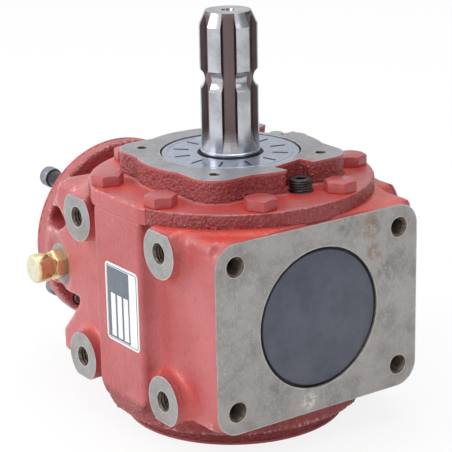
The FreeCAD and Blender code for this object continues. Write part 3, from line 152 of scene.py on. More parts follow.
def times(first, *others):
    """All the numbers multiplied together."""
    for other in others:
        first = maths("MULTIPLY", first, other)
    return first


def vectors(operation, first, second=(0, 0, 0), output="Vector"):
    """One step of arithmetic on vectors."""
    return add(first, "VectorMath", {0: first, 1: second}, operation=operation).outputs[output]


def measured(operation, first, second):
    """A number taken from two vectors, such as their distance or their dot product."""
    return vectors(operation, first, second, "Value")


def between(value, low, high, low_to=0.0, high_to=1.0):
    """Value stretched so that low becomes low_to and high becomes high_to, and held there."""
    inputs = {"Value": value, "From Min": low, "From Max": high, "To Min": low_to, "To Max": high_to}
    return add(value, "MapRange", inputs, interpolation_type="SMOOTHSTEP").outputs[0]


def noise(place, size_mm, detail=3.0, roughness=0.55):
    """Cloudy noise from 0 to 1 whose blobs are about size_mm across."""
    inputs = {"Vector": place, "Scale": 1 / (size_mm * MM), "Detail": detail, "Roughness": roughness}
    return add(place, "TexNoise", inputs).outputs[0]


def stretched(place, scales):
    """Object coordinates scaled along each axis, for grain that runs one way."""
    return add(place, "Mapping", {"Vector": place, "Scale": scales}).outputs[0]


# %% Helpers for normals and for a whole finish
def soft_edges(near, radius_mm):
    """Normal that rounds sharp edges off by a small radius."""
    return add(near, "Bevel", {"Radius": radius_mm * MM}, samples=4).outputs["Normal"]


def bump(height, depth_mm, strength, radius_mm):
    """Normal bent by a height of that real depth, over edges rounded off by a radius."""
    inputs = {"Height": height, "Distance": depth_mm * MM, "Strength": strength}
    inputs["Normal"] = soft_edges(height, radius_mm)
    return add(height, "Bump", inputs).outputs["Normal"]


def finish(name):
    """A new material, its Principled shader and object coordinates."""
    made = bpy.data.materials.new(name)
    made.use_nodes = True
    shader = made.node_tree.nodes["Principled BSDF"]
    return made, shader, add(shader, "TexCoord").outputs["Object"]


def wire(shader, **inputs):
    """Feeds the shader's inputs, named with _ for blanks."""
    feed(shader, {key.replace("_", " "): value for key, value in inputs.items()})


# %% [markdown]
# ## Red enamel on cast iron
# The paint is one thick coat sprayed over raw sand casting. It is brick red; convex edges are paler,
# partly where the paint lies thin and partly as a painted highlight, and hollows, the deck under the
# cover's rim and the roots of bosses, flange and bolts take an orange painted shade. Round sand grains
# and small pits show through it: the high grains carry painted glints, the pits are painted dark as
# shade, and rough sand is painted deeper red as its shade. Flat walls show little of them and rough rims
# much, so the rims also take a finish that shines less. The meshes carry three numbers at each point
# for this: hollow, edge and grain. A mesh without them reads zero.

# %% Red enamel
RED = srgb(168, 64, 66)
RED_LIGHT = srgb(181, 84, 87)
RED_DEEP = srgb(128, 33, 34)
RED_PIT_SHADE = srgb(100, 24, 26)
# Orange painted shade for hollows, the deck under the cover's rim and the roots of bosses, flange and
# bolts.
SHADE_ORANGE = srgb(206, 62, 42)
EDGE_PALE = srgb(222, 158, 154)
SAND_MM, SAND_DEPTH_MM = 1.5, 1.9


def red_enamel(name, edge_radius, coarse, shine, coat):
    """Enamel with edges rounded by a radius in mm; coarse is the least grain under the paint. The sand is
    a layer of round grains: one less the distance to the nearest of many scattered points."""
    made, shader, place = finish(name)
    fields = ("hollow", "edge", "grain")
    hollow, edge, sandy = [add(place, "Attribute", attribute_name=field).outputs["Fac"] for field in fields]
    grain = maths("ADD", sandy, coarse)
    rough = between(grain, 0.4, 1.1)
    clouds = between(noise(place, 45, 4), 0.35, 0.65)
    body = blend(clouds, RED, RED_LIGHT)
    stains = between(noise(place, 9, 5, 0.6), 0.54, 0.8, 0, 0.45)
    body = blend(stains, body, RED_DEEP)
    # Painted shade: rough sand is painted deeper red, standing in for the shade among its grains.
    body = blend(between(grain, 0.3, 1.1, 0, 0.55), body, RED_DEEP)
    patches = between(noise(place, 12, 4), 0.3, 0.62, 0.25, 0.9)
    # Orange painted shade where the hollow numbers are high.
    body = blend(times(hollow, patches), body, SHADE_ORANGE)
    scatter = {"Vector": place, "Scale": 1 / (SAND_MM * MM), "Smoothness": 0.5}
    reach = add(place, "TexVoronoi", scatter, feature="SMOOTH_F1").outputs["Distance"]
    sand = maths("SUBTRACT", 1.0, reach)
    pits = noise(place, 2.6, 4, 0.65)
    # Painted shade: pits in rough sand are painted darker.
    body = blend(times(between(pits, 0.46, 0.3, 0, 0.4), rough), body, RED_PIT_SHADE)
    # Painted glints on the tops of high sand grains, and pale convex edges that are partly paint rubbed
    # thin and partly a painted highlight.
    grain_glints = times(between(sand, 0.62, 0.8), between(pits, 0.48, 0.6, 0, 0.5), rough)
    chips_and_glints = between(noise(place, 2.5, 4, 0.7), 0.48, 0.6)
    worn_and_glints = maths("MAXIMUM", grain_glints, times(edge, chips_and_glints))
    colour = blend(worn_and_glints, body, EDGE_PALE)
    depth = maths("MULTIPLY_ADD", sand, 0.55, pits)
    peel = noise(place, 2.2, 2, 0.5)
    height = maths("ADD", times(depth, grain), times(peel, 0.04))
    gloss = between(noise(place, 7, 4), 0.3, 0.7, 0.3, 0.46)
    wire(shader, Base_Color=colour, Roughness=gloss, Specular_IOR_Level=shine, Coat_Weight=coat,
         Coat_Roughness=0.3, Normal=bump(height, SAND_DEPTH_MM, 1.0, edge_radius))
    return made


# %% [markdown]
# ## Bare machined cast iron
# The flange, the bosses and the top of the cover were milled after painting. Cast iron turns a warm
# mottled grey: dark graphite clouds, fine milling lines, pale edges that are partly rubbed bright and
# partly a painted highlight, and stains of rust, oil and wear in a few places. The lines come from
# noise that is stretched along one axis. An edge is found by comparing the true normal with one that
# is rounded off, because the two part only near an edge.

# %% Machined iron
IRON = srgb(162, 159, 157)
IRON_DARK = srgb(118, 116, 114)
IRON_PALE = srgb(196, 193, 190)
RUST = srgb(140, 104, 82)
EDGE_IRON = srgb(222, 217, 207)
EDGE_MM = 1.2


def machined_iron(name, marks, lines, tint=IRON):
    """Milled iron whose lines are noise scaled by lines along each axis. Each mark is a stain with its
    place, its radius in mm and its colour."""
    made, shader, place = finish(name)
    clouds = between(noise(place, 22, 8, 0.68), 0.38, 0.68, 0, 0.6)
    colour = blend(clouds, tint, IRON_DARK)
    pale_specks = between(noise(place, 1.8, 5, 0.75), 0.52, 0.7, 0, 0.5)
    colour = blend(pale_specks, colour, IRON_PALE)
    dark_specks = noise(stretched(place, (1, 1.4, 1)), 1.1, 3, 0.7)
    colour = blend(between(dark_specks, 0.6, 0.75, 0, 0.45), colour, IRON_DARK)
    streaks = noise(stretched(place, [min(v, 60) for v in lines]), 60, 2, 0.5)
    colour = blend(between(streaks, 0.64, 0.7, 0, 0.4), colour, IRON_PALE)
    patches = between(noise(place, 4, 5, 0.7), 0.42, 0.6, 0, 0.8)
    for spot, radius, stain in marks:
        away = measured("DISTANCE", place, [v * MM for v in spot])
        near = between(away, radius * MM, 0.2 * radius * MM)
        colour = blend(times(near, patches), colour, stain)
    facing = add(place, "NewGeometry").outputs["Normal"]
    rounding = measured("DOT_PRODUCT", facing, soft_edges(place, EDGE_MM))
    # Pale edges: partly rubbed bright, partly a painted highlight.
    rubbed_and_glints = between(noise(place, 5, 4, 0.6), 0.35, 0.6, 0.3, 0.85)
    edge = times(between(rounding, 0.998, 0.95), rubbed_and_glints)
    colour = blend(edge, colour, EDGE_IRON)
    scratches = noise(stretched(place, lines), 1000, 3, 0.6)
    fine = noise(place, 0.8, 3, 0.6)
    height = maths("ADD", times(scratches, 0.5), times(fine, 0.5))
    wire(shader, Base_Color=colour, Roughness=between(clouds, 0, 1, 0.4, 0.52), Metallic=0.45,
         Normal=bump(height, 0.05, 0.8, 0.3))
    return made


# %% [markdown]
# ## Ground and turned steel
# The spline's crowns are ground bright, with rings left by the wheel. The flanks and floors between
# the teeth were only hobbed: they stay brown-grey, and the flanks are painted darker than the floors as
# painted shade deep in the narrow gaps. A point lies on a flank when its normal is square to the line
# from the shaft axis, and on a floor when its normal runs along that line.

# %% Steel finishes
STEEL = srgb(192, 194, 200)
STEEL_GREY = srgb(160, 161, 166)
GAP_FLOOR = srgb(112, 96, 97)
GAP_FLANK_SHADE = srgb(82, 72, 73)
TEETH = 6.0


def ground_steel(name, along, centre, phase, span, runout):
    """Steel turned about X or Z. A point lies in a spline gap where cos(teeth (turn - phase)) is above
    zero, within the span of the spline, unless it lies on the end face; the brown fades over the
    run-out."""
    made, shader, place = finish(name)
    across = {"Z": (1, 1, 0), "X": (0, 1, 1)}[along]
    first, second, axis = {"Z": (0, 1, 2), "X": (1, 2, 0)}[along]
    squeeze = {"Z": (2, 2, 45), "X": (45, 2, 2)}[along]
    moved = vectors("SUBTRACT", place, [v * MM for v in centre])
    outward = vectors("NORMALIZE", vectors("MULTIPLY", moved, across))
    facing = add(place, "NewGeometry").outputs["Normal"]
    parts = add(place, "SeparateXYZ", {0: moved}).outputs
    leans = add(place, "SeparateXYZ", {0: facing}).outputs
    turn = maths("ARCTAN2", parts[second], parts[first])
    past = maths("SUBTRACT", turn, math.radians(phase))
    wave = maths("COSINE", times(past, TEETH))
    after = maths("GREATER_THAN", parts[axis], span[0] * MM)
    before = maths("LESS_THAN", parts[axis], span[1] * MM)
    sideways = between(maths("ABSOLUTE", leans[axis]), 0.85, 0.7)
    fade = between(parts[axis], runout[0] * MM, runout[1] * MM, 0.15, 1.0)
    gap = times(between(wave, -0.08, 0.0), after, before, sideways, fade)
    # Painted shade: flanks deep in the narrow gaps are darker than floors.
    level = maths("ABSOLUTE", measured("DOT_PRODUCT", facing, outward))
    floor = blend(between(level, 0.45, 0.9), GAP_FLANK_SHADE, GAP_FLOOR)
    clouds = between(noise(place, 16, 5, 0.6), 0.3, 0.7)
    rings = noise(stretched(place, squeeze), 40, 3, 0.7)
    bright = blend(clouds, STEEL, STEEL_GREY)
    bright = blend(between(rings, 0.5, 0.7, 0, 0.35), bright, STEEL_GREY)
    gloss = between(maths("ADD", clouds, gap), 0, 2, 0.2, 0.42)
    wire(shader, Base_Color=blend(gap, bright, floor), Roughness=gloss, Metallic=1.0,
         Normal=bump(rings, 0.02, 0.8, 0.35))
    return made


# %% Plain finishes
def plain_finish(name, colour, second, roughness, metallic, blob, depth=0.03):
    """Two close colours, as levels, in clouds of a size in mm, with a slight bump: moulded, plated,
    blackened or turned pieces."""
    made, shader, place = finish(name)
    clouds = between(noise(place, blob, 5, 0.65), 0.32, 0.7)
    fine = noise(place, blob / 5, 3, 0.6)
    gloss = between(fine, 0.3, 0.7, roughness * 0.85, roughness * 1.2)
    wire(shader, Base_Color=blend(clouds, srgb(*colour), srgb(*second)), Roughness=gloss,
         Metallic=metallic, Normal=bump(fine, depth, 0.8, 0.3))
    return made


# %% Make the finishes
marks = [(38, 128, 11, RUST), (40, 112, 8, RUST)] + [(y, z, 9, RUST) for y, z in FLANGE_CENTRES]
marks += [(22, 132, 13, IRON_DARK), (50, 98, 12, IRON_DARK)]
marks += [(-8, 31, 9, EDGE_IRON), (-30, 44, 12, IRON_DARK)]
FLANGE_MARKS = [((FLANGE_FACE, y, z), radius, stain) for y, z, radius, stain in marks]
COVER_MARKS = [((-72, -30, COVER_TOP), 14, RUST), ((46, 22, COVER_TOP), 14, RUST)]
enamel = red_enamel("red_enamel", 0.8, 0.06, 0.55, 0.35)
rough_enamel = red_enamel("rough_enamel", 0.6, 0.06, 0.5, 0.15)
bolt_enamel = red_enamel("bolt_enamel", 0.25, 0.2, 0.5, 0.25)
iron_flange = machined_iron("machined_iron_flange", FLANGE_MARKS, (900, 900, 25))
iron_boss = machined_iron("machined_iron_boss", [], (900, 900, 900), srgb(152, 152, 152))
iron_cover = machined_iron("machined_iron_cover", COVER_MARKS, (25, 900, 900), srgb(150, 151, 157))
iron_thread = plain_finish("threaded_iron", (122, 108, 96), (66, 56, 50), 0.42, 0.4, 3)
SPLINE_PHASE, SPLINE_SPAN, SPLINE_RUNOUT = 25.0, (164.3, 250), (166, 178)
OUTPUT_PHASE, OUTPUT_SPAN, OUTPUT_RUNOUT = 90.0, (-180, -143), (-144, -150)
OUTPUT_AXIS = (0, 0, AXIS_HEIGHT)
spline_steel = ground_steel("ground_steel", "Z", (0, 0, 0), SPLINE_PHASE, SPLINE_SPAN, SPLINE_RUNOUT)
output_steel = ground_steel("turned_steel", "X", OUTPUT_AXIS, OUTPUT_PHASE, OUTPUT_SPAN, OUTPUT_RUNOUT)
gear_steel = plain_finish("gear_steel", (134, 132, 128), (108, 104, 100), 0.34, 1.0, 8)
bearing_steel = plain_finish("bearing_steel", (196, 197, 200), (176, 178, 182), 0.16, 1.0, 10, 0.01)
cap_paint = plain_finish("cap_rubber", (84, 87, 102), (70, 74, 88), 0.4, 0.0, 18, 0.05)
seal_face = plain_finish("seal_face", (158, 166, 186), (142, 150, 172), 0.16, 0.6, 5, 0.02)
black_rubber = plain_finish("black_rubber", (22, 22, 26), (36, 36, 40), 0.5, 0.0, 3)
brass = plain_finish("brass", (222, 208, 160), (206, 188, 138), 0.2, 0.85, 4, 0.02)
brass_end = plain_finish("brass_end", (224, 220, 196), (208, 202, 172), 0.3, 0.6, 4, 0.02)
plug_steel = plain_finish("plug_steel", (84, 78, 80), (54, 50, 52), 0.34, 0.8, 3)
black_steel = plain_finish("black_steel", (46, 46, 50), (30, 30, 33), 0.34, 0.6, 3)
zinc = plain_finish("knurled_zinc", (140, 144, 150), (110, 114, 120), 0.36, 0.9, 3)
vent_grey = plain_finish("vent_grey", (170, 170, 172), (146, 146, 148), 0.42, 0.5, 4)
plate_white = plain_finish("plate_white", (232, 233, 234), (222, 224, 226), 0.34, 0.0, 8, 0.02)
plate_grey = plain_finish("plate_grey", (100, 107, 118), (88, 95, 106), 0.4, 0.0, 4, 0.02)
print("finishes:", len(bpy.data.materials))

# %% [markdown]
# ## Finishes on the parts of the frame
# Parts whose shape is already right keep it, and only take a finish. What isn't listed is a part of a
# bearing: cups, cones and rollers are all ground from the same bright steel.

# %% Dress the frame's own parts
NODE_FINISH = {
    "housing": enamel, "cover": enamel, "cover_bolts": bolt_enamel, "input_shaft": spline_steel,
    "pinion_shaft": output_steel, "crown_gear": gear_steel, "gear_key": gear_steel,
    "gear_spacer": gear_steel, "cone_spacer": gear_steel, "lock_nut": black_steel,
    "input_seal": seal_face, "output_seal": black_rubber, "side_cap": cap_paint, "base_cap": cap_paint,
    "nameplate": plate_white, "socket_plug": plug_steel, "vent_stub": vent_grey, "level_plug": brass,
    "ring_screws": zinc, "ring_spacers": black_steel,
}
for node_name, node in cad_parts.items():
    node.data.materials.clear()
    node.data.materials.append(NODE_FINISH.get(node_name, bearing_steel))
print("dressed", len(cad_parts), "parts")

# %% [markdown]
# ## Helpers for meshes
# A new piece is a grid of points worked out from two numbers, such as a turn and a step along a
# profile. These helpers turn such grids into faces, join several grids into one mesh and place them.

# %% Helpers for meshes
def grid_faces(rows, columns, ring=True):
    """Corners of the quads between neighbours on a grid; with ring, the last column meets the first."""
    i, j = np.meshgrid(np.arange(rows - 1), np.arange(columns if ring else columns - 1), indexing="ij")
    after = (j + 1) % columns
    corners = [i * columns + j, i * columns + after, (i + 1) * columns + after, (i + 1) * columns + j]
    return np.stack(corners, -1).reshape(-1, 4)


def joined(parts):
    """One set of points and faces from several."""
    offsets = np.cumsum([0] + [len(points) for points, _ in parts[:-1]])
    faces = [faces + offset for (_, faces), offset in zip(parts, offsets)]
    return np.vstack([points for points, _ in parts]), np.vstack(faces)


def placed(part, origin, along):
    """Part drawn about local Z, laid with that axis along a direction and moved to an origin."""
    points, faces = part
    turn = np.array(Vector(along).to_track_quat("Z", "Y").to_matrix())
    return points @ turn.T + np.array(origin), faces


def turns(columns):
    """Even directions round an axis, in radians."""
    return np.arange(columns) * 2 * math.pi / columns


def turned(rows, columns=64):
    """Closed surface round Z: rows of a radius and a height, each a number or an array over the turn."""
    turn = turns(columns)
    radius, height = [np.array([row[k] + 0 * turn for row in rows]) for k in (0, 1)]
    points = [radius * np.cos(turn), radius * np.sin(turn), height]
    return np.stack(points, -1).reshape(-1, 3), grid_faces(len(rows), columns)


# %% From a grid to a piece
SHARP = math.radians(32)


def piece(name, part, material, stands_for=None):
    """Makes the mesh object, merges doubled points, turns the faces outwards and rides it on the casing."""
    points, faces = part
    mesh = bpy.data.meshes.new(name)
    mesh.from_pydata((points * MM).tolist(), [], faces.tolist())
    shape = bmesh.new()
    shape.from_mesh(mesh)
    bmesh.ops.remove_doubles(shape, verts=shape.verts, dist=1e-7)
    bmesh.ops.dissolve_degenerate(shape, edges=shape.edges, dist=1e-8)
    bmesh.ops.recalc_face_normals(shape, faces=shape.faces)
    shape.to_mesh(mesh)
    shape.free()
    mesh.shade_smooth()
    mesh.set_sharp_from_angle(angle=SHARP)
    mesh.materials.append(material)
    return ready(bpy.data.objects.new(name, mesh), stands_for)


def ready(made, stands_for=None):
    """Links an object, rides it on the casing and hides the frame part it stands for."""
    bpy.context.scene.collection.objects.link(made)
    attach(made, "casing")
    if stands_for:
        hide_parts(stands_for)
    print(f"{made.name}: {len(made.data.polygons)} faces")
    return made


# %% [markdown]
# ## Cast skin
# Sand castings have no sharp inner corners: every boss grows out of its wall in a soft fillet, and
# every outer edge is a little blunt. Fillets like these would be hard to draw one by one. So the
# case is wrapped in a fine skin of even squares, and each point of the skin is drawn towards the
# middle of its neighbours, much where the pattern maker filled the corner and not at all where a
# tool cut. How far a point moved tells the paint where hollows and edges are. Machined planes of the
# skin sink a little, because crisp plates are laid over them.

# %% Wrap and soften
def welded_copy(node_name):
    """The frame part's triangles as a mesh of their own, with doubles merged."""
    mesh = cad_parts[node_name].data.copy()
    shape = bmesh.new()
    shape.from_mesh(mesh)
    bmesh.ops.remove_doubles(shape, verts=shape.verts, dist=1e-6)
    shape.to_mesh(mesh)
    shape.free()
    return mesh


def wrapped(node_name, square_mm):
    """A skin of even squares round a frame part."""
    source = bpy.data.objects.new("wrapped", welded_copy(node_name))
    bpy.context.scene.collection.objects.link(source)
    skin = source.modifiers.new("skin", "REMESH")
    skin.mode = "VOXEL"
    skin.voxel_size = square_mm * MM
    graph = bpy.context.evaluated_depsgraph_get()
    mesh = bpy.data.meshes.new_from_object(source.evaluated_get(graph))
    bpy.data.objects.remove(source)
    return mesh


def read(collection, field, width, kind=float):
    """Values of a mesh collection as an array."""
    values = np.zeros(len(collection) * width, kind)
    collection.foreach_get(field, values)
    return values.reshape(-1, width)


def softened(points, edges, weight, rounds):
    """Each point moves by its weight towards the mean of its neighbours, again and again."""
    ends, others = edges.ravel(), edges[:, ::-1].ravel()
    count = np.bincount(ends, minlength=len(points))[:, None]
    for _ in range(rounds):
        sums = [np.bincount(ends, points[others, axis], len(points)) for axis in range(3)]
        points = points + weight[:, None] * (np.stack(sums, -1) / count - points)
    return points


# %% Sand relief, steps and open holes
def lumps(points, size, seed):
    """Random heights from -1 to 1: values on a cubic lattice, blended by 3t^2 - 2t^3 between corners."""
    table = np.random.default_rng(seed).uniform(-1, 1, (64, 64, 64))
    cell = points / size
    low = np.floor(cell).astype(int)
    t = cell - low
    t = t * t * (3 - 2 * t)
    total = np.zeros(len(points))
    for corner in np.ndindex(2, 2, 2):
        share = np.prod(np.where(corner, t, 1 - t), axis=1)
        spot = (low + corner) % 64
        total += share * table[spot[:, 0], spot[:, 1], spot[:, 2]]
    return total


def step(value, low, high):
    """0 below low, 1 above high, 3t^2 - 2t^3 between; low may be the larger one."""
    t = np.clip((value - low) / (high - low), 0, 1)
    return t * t * (3 - 2 * t)


def widened(points, start, axes, centres, radius, spare):
    """Skin near a hole's wall moves out from the hole's axis to the radius and a spare width."""
    for centre in centres:
        off = start[:, axes] - np.array(centre)
        away = np.hypot(*off.T)
        near = (away > 0.7 * radius) & (away < radius + spare)
        shift = off[near] / away[near][:, None] * (radius + spare)
        held = points[near]
        held[:, axes] = np.array(centre) + shift
        points[near] = held
    return points


# %% One cast piece
BLUNT = 0.5
ROUGH_FROM = 0.7
SUNK = 0.35


def cast_piece(name, node_name, square_mm, rounds, softness, sink, paint):
    """The whole cast skin: wrap, soften, sand relief, machined planes sunk under their plates. The relief
    is lumps of two sizes where the grain is strong, and a slow swell everywhere."""
    mesh = wrapped(node_name, square_mm)
    start = read(mesh.vertices, "co", 3) / MM
    edges = read(mesh.edges, "vertices", 2, np.int32)
    outward = read(mesh.vertices, "normal", 3)
    weight = softness(start)
    points = softened(start, edges, 0.5 * weight, rounds)
    rise = ((points - start) * outward).sum(1)
    kept = np.where(rise < 0, BLUNT, 1.0)
    points = start + (points - start) * kept[:, None]
    grain, orange_shade = paint(start, outward)
    sand = 0.3 * lumps(points, 2.4, 3) + 0.2 * lumps(points, 5, 1)
    relief = sand * grain + 0.1 * lumps(points, 13, 2)
    points = points + outward * (relief * step(weight, 0.05, 0.3))[:, None]
    points = sink(points, start)
    mesh.vertices.foreach_set("co", (points * MM).ravel())
    # hollow holds the orange painted shade: concave corners plus the share under the rim, at the roots and
    # round the bolts; edge marks convex edges for their pale painted highlight.
    values = {"hollow": np.clip(orange_shade + step(rise, 0.25, 1.6), 0, 1),
              "edge": step(-rise, 0.2, 0.6) * step(-rise, 1.6, 1.0), "grain": grain}
    for field, numbers in values.items():
        mesh.attributes.new(field, "FLOAT", "POINT").data.foreach_set("value", numbers)
    mesh.materials.clear()
    mesh.materials.append(enamel)
    mesh.materials.append(rough_enamel)
    first_corner = read(mesh.polygons, "loop_start", 1, np.int32)[:, 0]
    corner_grain = grain[read(mesh.loops, "vertex_index", 1, np.int32)[first_corner, 0]]
    mesh.polygons.foreach_set("material_index", (corner_grain > ROUGH_FROM).astype(np.int32))
    mesh.shade_smooth()
    ready(bpy.data.objects.new(name, mesh), node_name)


# %% [markdown]
# ### The case
# Softness is a rule of place. It is high round the bosses and behind the corners of the flange,
# moderate on the walls and the neck, low on the ring, and nil in every bore and on machined faces.
# The deck rises in a fillet to the cover's rim, the pads lap a little over the joint with the cover,
# and the neck dips round the spot where the level plug sits.

# %% Sizes of the castings and how soft the case is
CASE_SQUARE, COVER_SQUARE, ROUNDS = 1.72, 0.95, 16
PLUG_X, SPOT, SPOT_RADIUS, PLUG_DISH = -93.5, 67.5, 12.8, 3.2
RIM_FILLET, SEAM_LAP = 1.8, 1.4
PAD_REACH, PAD_FLAT = 25.5, 78
BOSS_SINK, FLANGE_SINK = 0.4, 1.0
HOLE_DEPTH, RING_THICK, SPARE = 24, 12, 0.8
RING_HOLE, RING_CIRCLE = 4.3, 54.0
COVER_HOLE, COVER_CIRCLE = 3.4, 54.25
QUARTERS = (45, 135, 225, 315)


def around(radius, degrees):
    """Point on a circle round the origin."""
    turn = np.radians(degrees)
    return radius * np.cos(turn), radius * np.sin(turn)


COVER_CENTRES = [around(COVER_CIRCLE, angle) for angle in QUARTERS]
RING_CENTRES = [(y, AXIS_HEIGHT + rise) for y, rise in (around(RING_CIRCLE, a) for a in QUARTERS)]


def nearest(first, second, centres):
    """Distance from the nearest centre, looking along the axis that is square to both coordinates."""
    return np.min([np.hypot(first - a, second - b) for a, b in centres], axis=0)


def by_pad(x, y):
    """Whether a point lies at the two flats where the cover meets the pads."""
    return (np.abs(y) > PAD_FLAT) & (np.abs(x) < PAD_REACH + 4)


def case_softness(points):
    """A middling share on the walls, more at the roots of bosses and flange, less on ring and ledge, and
    none in bores, on machined faces and under the cover."""
    x, y, z = points.T
    from_input = np.hypot(x, y)
    from_output = np.hypot(y, z - AXIS_HEIGHT)
    near_boss = nearest(x, z, BOSS_CENTRES)
    soft = np.full(len(points), 0.45)
    root = step(near_boss, 27, 22) * step(np.abs(y), 66, 70)
    soft = np.maximum(soft, root)
    corner = step(x, 67, 73) * step(np.abs(z - AXIS_HEIGHT), 34, 42) * step(DECK - z, 2, 7)
    soft = np.maximum(soft, 0.9 * corner)
    soft = np.where(x < -120, 0.3, soft)
    pad_edge = (np.abs(y) > 79) & (np.abs(np.abs(x) - PAD_REACH) < 3) & (near_boss > 18)
    soft = np.where(pad_edge, 0.6, soft)
    ledge = (x > 56) & (z > DECK - 2.5) & (np.abs(y) > 69)
    soft = np.where(ledge, 0.12, soft)
    from_plug = np.hypot(x - PLUG_X, z - AXIS_HEIGHT)
    plug_spot = (from_plug < SPOT_RADIUS + 1.5) & (y < -60)
    pad_top = (np.abs(y) > 75) & (z > DECK - 4)
    inside = (from_input < 66) & (z > 11) & (z < DECK + 1)
    base_bore = (from_input < 44) & (z < 30)
    output_bores = (from_output < 45) & ((x < -55) | (x > 60))
    under_cover = (from_input < 88) & (z > DECK - 0.7)
    tooled = plug_spot | pad_top | inside | base_bore | output_bores | under_cover | (near_boss <= 8)
    face_fade = np.where(near_boss < 17, 4.801, 0.801)
    soft = soft * ~tooled * step(BOSS_FACE - np.abs(y), 0.8, face_fade)
    return soft * step(FLANGE_FACE - x, 0.9, 3.0) * step(x - RING_FACE, 0.8, 2.0) * step(z, 0.8, 2.5)


# %% Where the case sinks and rises
def case_sink(points, start):
    """Holes open by their radii, the deck rises to the rim, the pads lap over the joint, the neck dips
    round the plug, and the machined planes sink under their plates."""
    x, y, z = start.T
    face = points.copy()
    for part, axes, centres, radius, spare in (
            (np.abs(y) > BOSS_FACE - HOLE_DEPTH, [0, 2], BOSS_CENTRES, BOSS_HOLE, SPARE),
            (x > FLANGE_FACE - HOLE_DEPTH, [1, 2], FLANGE_CENTRES, FLANGE_HOLE, FLANGE_SINK + 0.6),
            (x > FLANGE_FACE - HOLE_DEPTH, [1, 2], [(0, AXIS_HEIGHT)], BORE_RADIUS, SPARE),
            (x < RING_FACE + RING_THICK, [1, 2], RING_CENTRES, RING_HOLE, 0.5)):
        face[part] = widened(face[part], start[part], axes, centres, radius, spare)
    from_input = np.hypot(x, y)
    top = z > DECK - 1.2
    on_pad = by_pad(x, y)
    face[:, 2] += RIM_FILLET * top * ~on_pad * (from_input > 83) * step(from_input, 95, 87)
    face[:, 2] += SEAM_LAP * top * on_pad * (np.abs(x) < PAD_REACH - 0.5)
    from_plug = np.hypot(x - PLUG_X, z - AXIS_HEIGHT)
    face[:, 1] += PLUG_DISH * step(from_plug, 23, 14) * (y < -62)
    boss = (nearest(x, z, BOSS_CENTRES) < BOSS_RADIUS + 1.5) & (np.abs(y) > BOSS_FACE - 1)
    face[boss, 1] = np.clip(face[boss, 1], -BOSS_FACE + SUNK, BOSS_FACE - SUNK)
    spotted = (from_plug < SPOT_RADIUS + 0.2) & (y < -60)
    face[spotted, 1] = np.maximum(face[spotted, 1], -SPOT + SUNK)
    return np.clip(face, (RING_FACE + SUNK, -np.inf, SUNK), (FLANGE_FACE - SUNK, np.inf, np.inf))


# %% Cast case
def case_paint(points, outward):
    """Grain on the drum and the ring; orange painted shade under the cover's rim and at the roots of
    bosses and flange."""
    x, y, z = points.T
    from_input = np.hypot(x, y)
    grain = 0.16 + 0.85 * step(z, 30, 22)
    grain = grain + 0.25 * step(x, -100, -125)
    deck = step(outward[:, 2], 0.6, 0.9) * step(z, DECK - 3, DECK - 1)
    rim_shadow = deck * step(from_input, 108, 88) * (0.45 + 0.55 * step(x, 15, 55))
    flange_root = deck * step(x, 66, 74)
    boss_root = step(nearest(x, z, BOSS_CENTRES), 25, 16) * step(np.abs(y), 80, 74)
    foot = 0.8 * boss_root * (0.3 + 0.7 * step(z, 60, 40))
    foot = foot + 0.7 * flange_root
    return np.clip(grain, 0, 1), 0.8 * rim_shadow + foot


cast_piece("cast_case", "housing", CASE_SQUARE, ROUNDS, case_softness, case_sink, case_paint)

# %% [markdown]
# ### The cover
# The cover is the roughest casting: its body and rim show coarse sand, its foot runs into the plate
# in a fillet with orange painted shade, and only the top is milled.

# %% Cast cover
PLATE_TOP = 147.6
BOLT_CIRCLE = 75.0
BOLT_ANGLES = 22.5 + 45 * np.arange(8)
BOLT_CENTRES = [around(BOLT_CIRCLE, angle) for angle in BOLT_ANGLES]
NOTCH_CIRCLE, NOTCH_ANGLES = 56.0, (11.0, 114.0)


def cover_softness(points):
    """A middling share, more at the foot of the body, and none on the top, under the bolts, beside the
    bore and round the screw in each notch."""
    x, y, z = points.T
    from_axis = np.hypot(x, y)
    soft = np.full(len(points), 0.5)
    soft = np.maximum(soft, 0.95 * step(z, PLATE_TOP + 8, PLATE_TOP + 4) * step(from_axis, 84, 80))
    soft = soft * step(COVER_TOP - z, 0.8, 3.5)
    soft = soft * step(z, DECK + 0.5, DECK + 2) * ~((np.abs(y) > PAD_FLAT) & (z < DECK + 3))
    soft = soft * (from_axis > 45) * (nearest(x, y, BOLT_CENTRES) > 7)
    notches = [around(NOTCH_CIRCLE, angle) for angle in NOTCH_ANGLES]
    return soft * (nearest(x, y, notches) > 8.5)


def cover_sink(points, start):
    """Holes and bore open by their radii, and the top sinks under its plate."""
    points = widened(points, start, [0, 1], COVER_CENTRES, COVER_HOLE, SPARE)
    points = widened(points, start, [0, 1], [(0, 0)], BORE_RADIUS, SPARE)
    return np.minimum(points, (np.inf, np.inf, COVER_TOP - SUNK))


def cover_paint(points, outward):
    """Grain on upright walls, apart from the two flats; orange painted shade round the bolts and along the
    foot.
    """
    x, y, z = points.T
    from_axis = np.hypot(x, y)
    upright = 1 - np.abs(outward[:, 2])
    grain = np.where(by_pad(x, y), 0.0, 0.12 + 0.88 * step(upright, 0.3, 0.8))
    upward = step(outward[:, 2], 0.5, 0.9)
    by_bolt = step(nearest(x, y, BOLT_CENTRES), 17, 10)
    # Orange painted shade on the plate round the bolt feet and along the body's foot.
    bolts = 0.9 * by_bolt * step(z, PLATE_TOP + 3, PLATE_TOP + 1) * upward
    foot = 0.7 * step(from_axis, 80, 66) * step(z, PLATE_TOP + 4, PLATE_TOP) * upward
    return grain, bolts + foot


cast_piece("cast_cover", "cover", COVER_SQUARE, ROUNDS, cover_softness, cover_sink, cover_paint)

